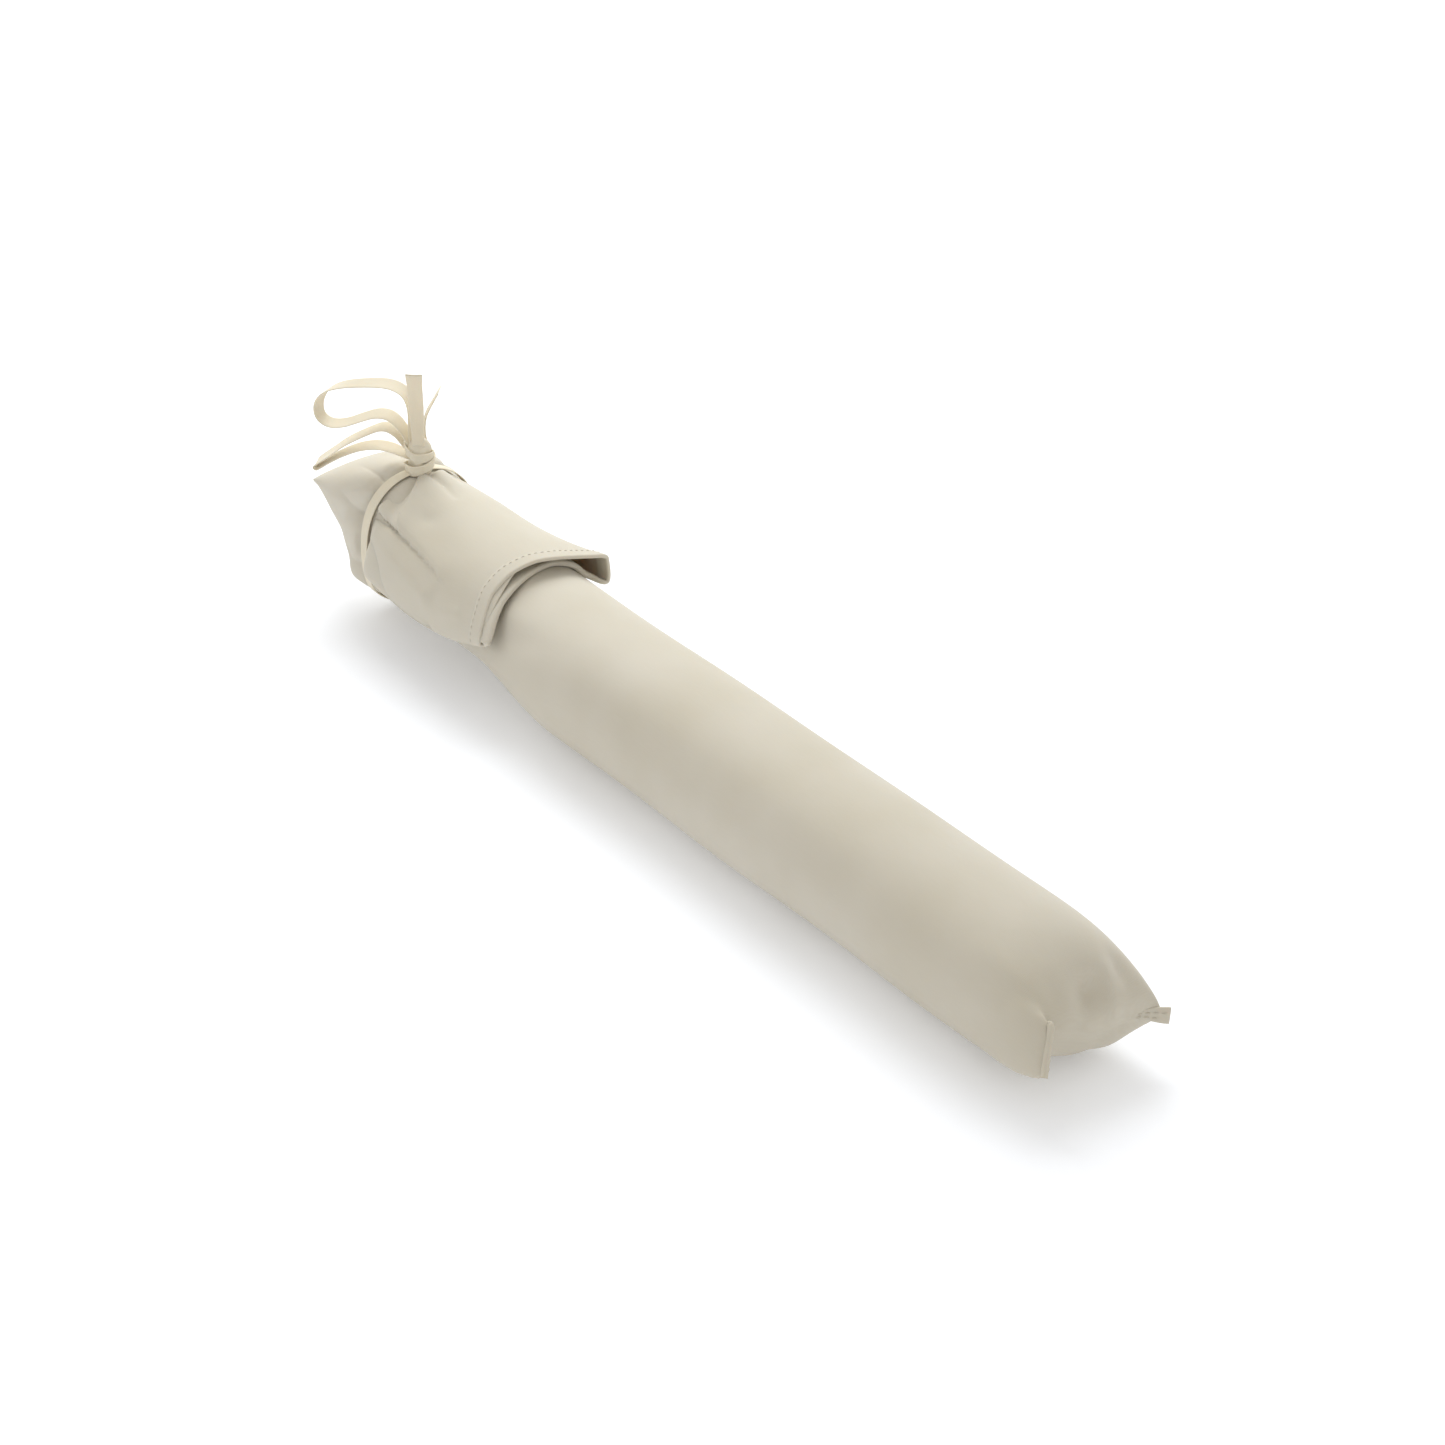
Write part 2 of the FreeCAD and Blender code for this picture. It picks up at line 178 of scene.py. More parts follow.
def from_line(points, line):
    """From each point to the nearest place on a run of straight pieces: the distance, how far along the
    run that place is, 0 to 1, and the way from it to the point."""
    line = np.asarray(line, float)
    nearest = np.full(points.shape[:-1], np.inf)
    share = np.zeros(points.shape[:-1])
    way = np.zeros(points.shape)
    for k, (a, b) in enumerate(zip(line, line[1:])):
        run = b - a
        t = np.clip(((points - a) @ run) / (run @ run), 0, 1)
        apart = points - (a + t[..., None] * run)
        gap = np.linalg.norm(apart, axis=-1)
        closer = gap < nearest
        nearest = np.where(closer, gap, nearest)
        share = np.where(closer, (k + t) / (len(line) - 1), share)
        way = np.where(closer[..., None], apart, way)
    return nearest, share, way


def crease(points, line, width, start, end):
    """Height of a fold along a line: a bell curve across it, going from start to end along it."""
    gap, share, _ = from_line(points, line)
    return (start + (end - start) * share) * np.exp(-((gap / width) ** 2))


def step_fold(points, line, down, sharp, reach, start, end):
    """Height of cloth that laps over itself along a line: a bell curve on the line's upper side, cut off
    within sharp of the line on the side that the down direction points to."""
    gap, share, way = from_line(points, line)
    side = gap * np.sign(way @ np.asarray(down, float))
    return (start + (end - start) * share) * np.exp(-((side / reach) ** 2)) * smooth(sharp, -sharp, side)


def dent(points, centre, size, depth):
    """Depth of a soft dent: a bell curve of three widths about a centre."""
    apart = (points - np.array(centre)) / np.array(size)
    return depth * np.exp(-(apart**2).sum(-1))


def grid_faces(rows, columns, closed):
    """Four-cornered faces of a grid, and the same with the closing column counted apart, for its map."""
    count = columns + closed
    index = np.arange(rows * count).reshape(rows, count)
    corners = [index[:-1, :-1], index[:-1, 1:], index[1:, 1:], index[1:, :-1]]
    apart = np.stack(corners, -1).reshape(-1, 4)
    row, column = apart // count, apart % count
    return row * columns + column % columns, apart


def grid_map(points, closed):
    """A flat map of a grid in metres: mean arc length along it, and median arc length across it."""
    whole = np.concatenate([points, points[:, :1]], axis=1) if closed else points
    along = np.linalg.norm(np.diff(whole, axis=0), axis=-1).mean(1)
    along = np.concatenate([[0], np.cumsum(along)])
    across = np.median(np.linalg.norm(np.diff(whole, axis=1), axis=-1), axis=0)
    across = np.concatenate([[0], np.cumsum(across)])
    u, v = np.meshgrid(along, across, indexing="ij")
    return np.stack([u, v], -1).reshape(-1, 2) * MM


def make_mesh(name, patches, material, closed=True):
    """A mesh from grids of points in millimetres. Each patch is (points, closed round, caps), and one
    with caps is turned so that its faces point outwards."""
    vertices, faces, maps = [], [], []
    for points, round_it, caps in patches:
        if caps:
            middle = points - points.mean((0, 1))
            quads = np.cross(np.roll(middle, -1, 1)[:-1] - middle[:-1], middle[1:] - middle[:-1])
            points = points if (quads * middle[:-1]).sum() > 0 else points[:, ::-1]
        rows, columns = points.shape[:2]
        base = sum(len(v) for v in vertices)
        quads, apart = grid_faces(rows, columns, round_it)
        flat = grid_map(points, round_it)
        vertices.append(points.reshape(-1, 3) * MM)
        faces += (quads + base).tolist()
        maps.append(flat[apart].reshape(-1, 2))
        if caps:
            for row in (0, rows - 1):
                ring = np.arange(columns) + row * columns
                middle = points[row].mean(0)
                tip = base + rows * columns + (1 if row else 0)
                vertices.append(middle[None] * MM)
                nxt = np.roll(ring, -1)
                fans = np.stack([ring + base, nxt + base, np.full(columns, tip)], -1)
                faces += fans.tolist()
                maps.append(np.repeat(flat[[row * (columns + 1)]], 3 * columns, axis=0))
    mesh = bpy.data.meshes.new(name)
    mesh.from_pydata(np.concatenate(vertices).tolist(), [], faces)
    layer = mesh.uv_layers.new(name="cloth")
    layer.data.foreach_set("uv", np.concatenate(maps).astype(np.float32).ravel())
    mesh.polygons.foreach_set("use_smooth", np.ones(len(mesh.polygons), bool))
    mesh.materials.append(material)
    mesh.update()
    piece = bpy.data.objects.new(name, mesh)
    bpy.context.collection.objects.link(piece)
    if closed:
        turn_outwards(mesh)
    return piece


def turn_outwards(mesh):
    """Flip every face where the mesh's signed volume, the sum of its corner pyramids, is below zero."""
    mesh.calc_loop_triangles()
    corner = np.zeros(len(mesh.vertices) * 3)
    mesh.vertices.foreach_get("co", corner)
    triangle = np.zeros(len(mesh.loop_triangles) * 3, np.int32)
    mesh.loop_triangles.foreach_get("vertices", triangle)
    a, b, c = corner.reshape(-1, 3)[triangle.reshape(-1, 3)].transpose(1, 0, 2)
    if (a * np.cross(b, c)).sum() < 0:
        mesh.flip_normals()


def finish_piece(piece, body, slot, *nodes):
    """Put the piece on its body and hide the plain solids it stands for. Its slot, the name of its finish, is
    not used.
    """
    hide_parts(*nodes)
    if body:
        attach(piece, body)
    return piece


# ---------------------------------------------------------------- materials


def linear(code):
    """An sRGB hex colour as linear light."""
    value = np.array([int(code[k : k + 2], 16) for k in (1, 3, 5)]) / 255
    value = np.where(value <= 0.04045, value / 12.92, ((value + 0.055) / 1.055) ** 2.4)
    return tuple(float(v) for v in value)


def new_material(name):
    """A new material, its node tree and its shader."""
    material = bpy.data.materials.new(name)
    material.use_nodes = True
    tree = material.node_tree
    return material, tree, tree.nodes["Principled BSDF"]


def set_inputs(tree, node, inputs):
    """Give a node's inputs their values, or link other sockets to them."""
    for key, value in inputs.items():
        if isinstance(value, bpy.types.NodeSocket):
            tree.links.new(value, node.inputs[key])
        else:
            node.inputs[key].default_value = value


def add_node(tree, kind, inputs=None, **settings):
    """Add a node with its settings; inputs maps its sockets to values or to other sockets."""
    node = tree.nodes.new(kind)
    for name, value in settings.items():
        setattr(node, name, value)
    set_inputs(tree, node, inputs or {})
    return node


def ramp(tree, factor, stops):
    """A colour ramp through (place, colour) stops."""
    node = add_node(tree, "ShaderNodeValToRGB", {"Fac": factor})
    elements = node.color_ramp.elements
    while len(elements) < len(stops):
        elements.new(1.0)
    for element, (place, colour) in zip(elements, stops):
        element.position = place
        element.color = (*colour, 1.0)
    return node.outputs["Color"]


def woven(name, light, shade, pitch, depth, roughness, through_light=0.0, angle=0.0, coordinates="UV"):
    """A woven cotton: threads at the pitch, crossing two ways or slanting one way by the angle, slubs
    along them, and slow changes of tone."""
    _, tree, shader = new_material(name)
    place = add_node(tree, "ShaderNodeTexCoord")
    where = place.outputs[coordinates]
    turned = add_node(
        tree, "ShaderNodeMapping", {"Vector": where, "Rotation": (0, 0, radians(angle))}
    ).outputs[0]
    # A wave texture repeats every pi / 10 of its scaled coordinate.
    threads = [
        add_node(
            tree, "ShaderNodeTexWave",
            {
                "Vector": turned, "Scale": pi / 10 / pitch, "Distortion": 0.5, "Detail": 1.0,
                "Detail Scale": 1.2,
            },
            wave_type="BANDS", bands_direction=direction, wave_profile="SIN",
        ).outputs["Fac"]
        for direction in ("XY" if not angle else "XX")
    ]
    cross = add_node(tree, "ShaderNodeMath", {0: threads[0], 1: threads[1]}, operation="MAXIMUM").outputs[0]
    # Slubs: thicker stretches of thread about 9 mm long and 0.8 mm wide.
    stretched = add_node(tree, "ShaderNodeMapping", {"Vector": where, "Scale": (110, 1250, 300)}).outputs[0]
    slubs = add_node(
        tree, "ShaderNodeTexNoise", {"Vector": stretched, "Scale": 1.0, "Detail": 2.0}
    ).outputs["Fac"]
    # Handling and creasing change the tone over some 40 mm.
    cloud = add_node(
        tree, "ShaderNodeTexNoise",
        {"Vector": place.outputs["Object"], "Scale": 20.0, "Detail": 2.0, "Roughness": 0.4},
    ).outputs["Fac"]
    tone = cloud
    for source, weight in ((slubs, 0.22), (cross, 0.16)):
        tone = add_node(
            tree, "ShaderNodeMath", {0: source, 1: weight, 2: tone}, operation="MULTIPLY_ADD"
        ).outputs[0]
    factor = add_node(tree, "ShaderNodeMapRange", {"Value": tone, "From Min": 0.1, "From Max": 1.05}).outputs[0]
    height = add_node(
        tree, "ShaderNodeMath", {0: slubs, 1: 0.5, 2: cross}, operation="MULTIPLY_ADD"
    ).outputs[0]
    bump = add_node(tree, "ShaderNodeBump", {"Height": height, "Strength": 0.3, "Distance": depth}).outputs[0]
    set_inputs(tree, shader, {
        "Base Color": ramp(tree, factor, [(0.0, shade), (1.0, light)]),
        "Normal": bump,
        "Roughness": roughness,
        "Sheen Weight": 0.08,
        "Sheen Roughness": 0.5,
        "Specular IOR Level": 0.2,
        "Subsurface Weight": through_light,
        "Subsurface Radius": (1.0, 0.7, 0.42),
        "Subsurface Scale": 0.0025,
    })


def materials(context):
    """The finishes, made once and kept by name."""
    if bpy.data.materials.get("cotton calico, plain woven") is None:
        tones = context.scene.compress_colours
        light, shade, tape = tuple(tones.calico), tuple(tones.calico_shade), tuple(tones.tape)
        # Unbleached calico, plain woven: matt and soft, faintly warm where light comes through it. Its
        # threads are 0.35 mm apart and are drawn at twice that, to show.
        woven("cotton calico, plain woven", light, shade, 0.0007, 0.00009, 0.92, through_light=0.15)
        # The same calico turned under and pressed: a little smoother and paler.
        woven("cotton calico, turned and pressed", light, shade, 0.0007, 0.00007, 0.88, through_light=0.15)
        # Cotton tape, twill woven: close slanting ribs 0.8 mm apart between two woven edges.
        woven("cotton tape, twill woven", tape, shade, 0.0008, 0.0001, 0.88, through_light=0.12, angle=40.0)
        # Sewing thread, twisted from two plies: a slight sheen, turns 0.5 mm apart.
        woven("cotton thread, twisted", light, shade, 0.0005, 0.00008, 0.7, angle=35.0)
        # Muslin, open woven: thin, with threads 1.2 mm apart, seen only with the cover off.
        woven(
            "cotton muslin, open woven", linear("#E9E2D2"), linear("#CFC4AA"), 0.0012, 0.0003, 0.95,
            coordinates="Object",
        )
        herbs()
    return bpy.data.materials


def herbs():
    """Dried herbs, chopped and pressed: leaf, root and spice bits of 2 to 4 mm in green, ochre and brown."""
    _, tree, shader = new_material("dried herbs, chopped")
    where = add_node(tree, "ShaderNodeTexCoord").outputs["Object"]
    bits = add_node(tree, "ShaderNodeTexVoronoi", {"Vector": where, "Scale": 350.0})
    kind = add_node(tree, "ShaderNodeSeparateColor", {"Color": bits.outputs["Color"]}).outputs[0]
    tones = ((0.0, "#5A5A32"), (0.35, "#8A8450"), (0.7, "#A87F3E"), (1.0, "#6B4A2A"))
    bump = add_node(
        tree, "ShaderNodeBump", {"Height": bits.outputs["Distance"], "Strength": 0.8, "Distance": 0.001}
    ).outputs[0]
    colour = ramp(tree, kind, [(place, linear(code)) for place, code in tones])
    set_inputs(tree, shader, {"Base Color": colour, "Normal": bump, "Roughness": 0.9})


# ---------------------------------------------------------------- sizes and colours


def size_setting(name, description, default, low, high):
    """A length that a user may change."""
    return bpy.props.FloatProperty(
        name=name, description=description, default=default, min=low, max=high, unit="LENGTH",
        subtype="DISTANCE",
    )


def colour_setting(name, description, code):
    """A colour that a user may change, its default from an sRGB hex code."""
    return bpy.props.FloatVectorProperty(
        name=name, description=description, default=linear(code), size=3, min=0, max=1, subtype="COLOR",
    )


class CompressSizes(bpy.types.PropertyGroup):
    """Sizes that a user may change."""

    tape_width: size_setting("Tape width", "Width of the cotton tape", 0.008, 0.004, 0.02)
    tape_thickness: size_setting("Tape thickness", "Thickness of the cotton tape", 0.001, 0.0004, 0.003)
    cloth_thickness: size_setting("Cloth thickness", "Thickness of one layer of the flap", 0.001, 0.0004, 0.003)
    hem_thickness: size_setting("Hem thickness", "Thickness of the mouth's turned hem", 0.0024, 0.001, 0.005)
    stitch_pitch: size_setting("Stitch pitch", "From one machine stitch to the next", 0.0036, 0.001, 0.008)
    thread_thickness: size_setting("Thread thickness", "Thickness of the sewing thread", 0.0004, 0.0002, 0.001)


class CompressColours(bpy.types.PropertyGroup):
    """Colours that a user may change."""

    calico: colour_setting("Calico", "Colour of the cotton cover", "#CFC9BC")
    calico_shade: colour_setting("Calico, darker", "The cover's darker tone", "#C1B9A6")
    tape: colour_setting("Tape", "Colour of the tape", "#E8DFCB")
    floor: colour_setting("Floor", "Colour of the floor", "#F1F3F8")


# ---------------------------------------------------------------- the stage


def place_camera():
    """The camera, turned round Z by the azimuth and tilted down by the elevation, looking at the aim."""
    azimuth, elevation, distance = radians(54.09), radians(30.0), 1.772
    aim = np.array([-0.023, 0.0224, 0.033])
    level = np.cos(elevation)
    back = np.array([np.sin(azimuth) * level, -np.cos(azimuth) * level, np.sin(elevation)])
    lens = bpy.data.cameras.new("camera")
    lens.lens, lens.sensor_width = 91.63, 36.0
    lens.clip_end = 50
    camera = bpy.data.objects.new("camera", lens)
    camera.location = aim + distance * back
    camera.rotation_euler = (pi / 2 - elevation, 0, azimuth)
    bpy.context.collection.objects.link(camera)
    bpy.context.scene.camera = camera


def area_light(name, place, aim, size, power, colour):
    """A square soft light turned towards the aim."""
    lamp = bpy.data.lights.new(name, "AREA")
    lamp.shape, lamp.size, lamp.energy, lamp.color = "SQUARE", size, power, colour
    light = bpy.data.objects.new(name, lamp)
    light.location = place
    direction = Vector(aim) - Vector(place)
    light.rotation_euler = direction.to_track_quat("-Z", "Y").to_euler()
    bpy.context.collection.objects.link(light)


class COMPRESS_OT_stage(bpy.types.Operator):
    """Floor, soft studio light and camera"""

    bl_idname = "compress.stage"
    bl_label = "Stage"

    def execute(self, context):
        place_camera()
        side = 6000.0
        corner = np.array([[[-side, -side, 0], [-side, side, 0]], [[side, -side, 0], [side, side, 0]]], float)
        # Coated paper, matt: even and pale, with no gloss, and a little light of its own.
        paper, tree, shader = new_material("paper, matt coated")
        set_inputs(tree, shader, {
            "Base Color": (*context.scene.compress_colours.floor, 1.0),
            "Roughness": 1.0,
            "Specular IOR Level": 0.0,
            "Emission Color": (1.0, 1.0, 1.0, 1.0),
            "Emission Strength": 0.17,
        })
        floor = make_mesh("floor", [(corner, False, False)], paper, closed=False)
        if floor.data.polygons[0].normal.z < 0:
            floor.data.flip_normals()
        world = context.scene.world or bpy.data.worlds.new("studio")
        context.scene.world = world
        world.use_nodes = True
        sky = {"Color": (1.0, 0.985, 0.95, 1.0), "Strength": 0.75}
        set_inputs(world.node_tree, world.node_tree.nodes["Background"], sky)
        area_light("key", (-0.9, 0.55, 1.1), (-0.05, 0, 0.03), 1.0, 17, (0.95, 0.98, 1.0))
        context.scene.view_settings.view_transform = "Standard"
        context.scene.view_settings.look = "None"
        context.scene.view_settings.exposure = 0.0
        return {"FINISHED"}


# ---------------------------------------------------------------- the tape


def route_points(route, heading):
    """A route's points in millimetres, in the upright plane of its heading through the knot's axis."""
    out, height = np.array(route).T
    aside = BACK_ASIDE if route is BACK_TAIL else 0.0
    return np.stack([KNOT[0] + out * heading[0] + aside, KNOT[1] + out * heading[1], NECK_TOP + height], -1)


def smooth_line(points):
    """The line of one NURBS spline of order 3 whose control points are given, read as points."""
    curve = bpy.data.curves.new("line", "CURVE")
    curve.dimensions = "3D"
    spline = curve.splines.new("NURBS")
    spline.points.add(len(points) - 1)
    spline.points.foreach_set("co", np.column_stack([points * MM, np.ones(len(points))]).ravel())
    spline.order_u = 3
    spline.use_endpoint_u = True
    spline.resolution_u = 10
    holder = bpy.data.objects.new("line", curve)
    bpy.context.collection.objects.link(holder)
    mesh = bpy.data.meshes.new_from_object(holder)
    line = np.zeros(len(mesh.vertices) * 3)
    mesh.vertices.foreach_get("co", line)
    bpy.data.objects.remove(holder)
    bpy.data.meshes.remove(mesh)
    line = line.reshape(-1, 3) / MM
    step = np.linalg.norm(np.diff(line, axis=0), axis=1)
    return line[np.concatenate([[True], step > 1e-6])]


def ribbon(line, across, width, thickness, bow=0.0, closed=False, columns=20):
    """A tape along a line, which may be closed on itself: at each of its points a flattened round
    section, width along the across direction and thickness along the line's normal. The section is a
    superellipse, cos and sin each raised to a power, thinner in the middle than at the woven edges, and
    bowed by a parabola."""
    if closed:
        forward = unit(np.roll(line, -1, 0) - np.roll(line, 1, 0))
    else:
        forward = unit(np.gradient(line, axis=0))
    across = unit(across - (across * forward).sum(1, keepdims=True) * forward)
    up = np.cross(forward, across)
    turn = 2 * pi * (np.arange(columns) + 0.5) / columns
    y, z = signed_power(np.cos(turn), 0.5), signed_power(np.sin(turn), 0.7)
    width, bow, thickness = (np.broadcast_to(size, len(line))[:, None] for size in (width, bow, thickness))
    side = width / 2 * y
    lift = thickness / 2 * z * (0.88 + 0.12 * y**6) + bow * (y**2 - 0.4)
    return line[:, None] + side[..., None] * across[:, None] + lift[..., None] * up[:, None]


class COMPRESS_OT_bow(bpy.types.Operator):
    """The bow's two loops and two cut ends, one tape along each route"""

    bl_idname = "compress.bow"
    bl_label = "Bow"

    def execute(self, context):
        sizes = context.scene.compress_sizes
        tape = materials(context)["cotton tape, twill woven"]
        width, thickness = sizes.tape_width / MM, sizes.tape_thickness / MM
        for name, node, body, route, heading, directions, length, far_end in TAPES:
            line = smooth_line(route_points(route, heading))
            share = np.linspace(0, 1, len(line))
            across = line_through(directions, share)
            bow = 0.35 * np.sin(pi * share * 2.5)
            if far_end == "bare":
                wide = width * (0.80 + 0.20 * smooth(0.1, 0.6, share) + 0.10 * smooth(0.86, 1, share))
            else:
                wide = width * (0.80 + 0.20 * smooth(0, 0.10, share) * smooth(1, 0.90, share))
            strip = ribbon(line, across, wide, thickness, bow)
            piece = make_mesh(name, [(strip, True, True)], tape)
            finish_piece(piece, body, "tape_cotton", node)
        return {"FINISHED"}


class COMPRESS_OT_tie(bpy.types.Operator):
    """The tape round the neck, and the knot on it"""

    bl_idname = "compress.tie"
    bl_label = "Tie and knot"

    def execute(self, context):
        sizes = context.scene.compress_sizes
        tape = materials(context)["cotton tape, twill woven"]
        turn = 2 * pi * np.arange(200) / 200
        oval = oval_ring(turn, NECK_HALF_WIDTH, NECK_LOW, NECK_TOP, NECK_POWER)
        # On the near side the tape slants, its lower part further from the gathered end.
        slant = np.exp(-(((turn - 3.5) / 0.55) ** 2))
        line = np.column_stack([TIE_X - 0.6 + 4.2 * slant + 0.4 * np.sin(3 * turn), oval])
        # It lies 1.6 mm off the neck, closer underneath, and stands out where it slants.
        off = 1.6 - 1.9 * smooth(-0.35, -0.8, np.sin(turn)) + 2.0 * slant
        line[:, 1:] += unit(oval - [0, NECK_MIDDLE]) * off[:, None]
        width = (sizes.tape_width / MM - 1.2) * (0.93 + 0.07 * np.sin(3 * turn + 1))
        bow = 0.25 * np.cos(2 * turn)
        band = ribbon(line, np.array([1.0, 0, 0]), width, sizes.tape_thickness / MM, bow, closed=True)
        piece = make_ring("tape_round_neck", band, tape)
        finish_piece(piece, "bag", "tape_cotton", "tie_band")
        strands = [knot_points()] + [knot_turn(*sizes_of_turn) for sizes_of_turn in KNOT_TURNS]
        knot = make_mesh("knot", [(strand, True, True) for strand in strands], tape)
        finish_piece(knot, "bag", "tape_cotton", "tie_knot")
        return {"FINISHED"}


def make_ring(name, points, material):
    """A mesh from one grid that is closed both ways."""
    piece = make_mesh(name, [(points, True, False)], material, closed=False)
    close_ring(piece, points.shape)
    return piece


def close_ring(piece, shape):
    """Join the last row of a grid that is a ring to its first row."""
    rows, columns = shape[:2]
    mesh = piece.data
    last, first = (rows - 1) * columns + np.arange(columns), np.arange(columns)
    extra = np.stack([last, np.roll(last, -1), np.roll(first, -1), first], -1)
    old = [tuple(p.vertices) for p in mesh.polygons]
    corner = np.zeros(len(mesh.vertices) * 3)
    mesh.vertices.foreach_get("co", corner)
    flat = np.zeros(len(mesh.loops) * 2, np.float32)
    mesh.uv_layers[0].data.foreach_get("uv", flat)
    new = bpy.data.meshes.new(mesh.name)
    new.from_pydata(corner.reshape(-1, 3).tolist(), [], old + extra.tolist())
    layer = new.uv_layers.new(name="cloth")
    flat = flat.reshape(-1, 2)
    tail = flat[-4 * columns :]
    layer.data.foreach_set("uv", np.concatenate([flat, tail]).ravel())
    new.polygons.foreach_set("use_smooth", np.ones(len(new.polygons), bool))
    new.materials.append(mesh.materials[0])
    new.update()
    piece.data = new
    turn_outwards(new)


def knot_points():
    """The knot's middle: its half width follows typed sizes up its height, on a section that is a
    superellipse of power 2.6, with soft strands winding round it."""
    height = np.linspace(0, 1, 91)
    turn = 2 * pi * np.arange(120) / 120
    t, a = np.meshgrid(height, turn, indexing="ij")
    half = line_through([4.2, 5.6, 6.2, 6.0, 5.6, 5.6, 6.0, 6.2, 5.8, 4.8, 3.4], height)[:, None]
    c, s = np.cos(a), np.sin(a)
    round_it = (np.abs(c) ** 2.6 + np.abs(s) ** 2.6) ** (-1 / 2.6)
    swell = 0.6 * np.sin(2 * a + 5 * t) + 0.35 * np.sin(5 * a - 4 * t)
    radius = half * round_it + swell * np.sin(pi * t)
    z = NECK_TOP - 1.0 + 20.0 * t + 0.5 * np.sin(2 * a) * (1 - t)
    return np.stack([KNOT[0] + radius * c, KNOT[1] + radius * s, z], -1)


def knot_turn(low, high, start, sweep, reach, width, thickness):
    """One turn of the tape round the knot: a ribbon on a slanting oval, from low to high as it goes
    round by the sweep, with its ends run into the knot."""
    share = np.linspace(0, 1, 110)
    angle = start + sweep * share
    radius = reach - 2.6 * (smooth(0.12, 0, share) + smooth(0.88, 1, share))
    radius = radius * (np.abs(np.cos(angle)) ** 2.5 + np.abs(np.sin(angle)) ** 2.5) ** (-1 / 2.5)
    height = low + (high - low) * (0.5 - 0.5 * np.cos(pi * share))
    line = np.stack(
        [KNOT[0] + radius * np.cos(angle), KNOT[1] + radius * np.sin(angle), NECK_TOP + height], -1
    )
    wide = width * (0.86 + 0.14 * np.cos(2 * pi * share))
    lean = np.stack([0.18 * np.cos(angle), 0.18 * np.sin(angle), np.ones(len(angle))], -1)
    return ribbon(line, lean, wide, thickness, bow=0.5 * np.sin(pi * share))


# ---------------------------------------------------------------- the cover


def oval_ring(turn, width, low, high, power):
    """(y, z) of an oval: half width times cos and half height times sin, both raised to a power."""
    c, s = signed_power(np.cos(turn), power), signed_power(np.sin(turn), power)
    return np.stack([width * c, (low + high) / 2 + (high - low) / 2 * s], -1)


# The end seam under the sewn end, from the near corner to the far one.
SEAM = [
    (262.0, -34.0, 28.0), (266.5, -24.0, 27.0), (268.0, -11.0, 23.6), (268.0, 2.0, 19.6), (268.0, 13.0, 20.6),
    (269.5, 23.0, 23.4), (273.0, 31.0, 24.4), (277.5, 38.5, 23.5),
]
# The turned edge runs along the near corner's ear, goes down behind it and then follows the seam.
LIP = [
    (283.6, -34.4, 24.6), (280.6, -31.0, 30.4), (277.2, -27.1, 36.3), (273.8, -23.6, 41.6),
    (268.0, -22.5, 38.0), (263.0, -19.0, 30.0), (262.0, -12.0, 24.5), (262.0, 0.0, 20.0),
    (263.0, 12.0, 20.6), (268.6, 22.0, 23.6), (273.0, 30.5, 25.0), (278.0, 39.8, 23.6),
]
# The ear at the near corner: the top and the bottom of its places outward, and its thickness there.
EAR_TOP = [
    (225.0, -27.0, 51.0), (243.0, -27.0, 50.5), (258.0, -27.0, 48.5), (267.5, -25.5, 45.8),
    (274.5, -23.2, 42.5),
]
EAR_LOW = [
    (225.0, -34.0, 15.0), (247.0, -34.0, 14.5), (263.0, -34.6, 15.8), (275.0, -35.2, 19.5),
    (284.8, -35.0, 23.6),
]
EAR_THICK = [7.6, 7.6, 7.0, 5.8, 3.6]
# The cover's patches are joined into one skin: the remesh's voxel in metres, and how often it is smoothed.
SKIN_VOXEL = 0.0017
SKIN_PASSES = 7


def seam_by_width(y):
    """The end seam's point for each y of the body's rings: where the smooth line passes that y."""
    share = np.linspace(0, 1, 400)
    return line_through(SEAM, np.interp(y, line_through(SEAM, share)[:, 1], share))


def ear_points():
    """The ear at the near corner of the sewn end: a flat fold of cloth between its typed top and bottom,
    its section a superellipse of power 3, bowed outwards, and rounded off at its edge."""
    share = np.concatenate([np.linspace(0, 0.97, 60), 1 - 0.03 * np.cos(np.linspace(0, pi / 2, 12)[1:])])
    top, low = line_through(EAR_TOP, share)[:, None], line_through(EAR_LOW, share)[:, None]
    thick = line_through(EAR_THICK, share) * np.sqrt(np.clip(1 - smooth(0.93, 1.0, share) ** 2, 0.03, 1))
    turn = 2 * pi * (np.arange(48) + 0.5) / 48
    across = signed_power(np.cos(turn), 0.67)[None, :, None]
    out = signed_power(np.sin(turn), 0.67)[None, :, None] * thick[:, None, None] / 2
    bow = 5.0 * ((1 - share) ** 0.8)[:, None, None] * (0.4 - across**2)
    return (top + low) / 2 + (top - low) / 2 * across + (out + bow) * np.array([0.15, -0.95, 0.12])


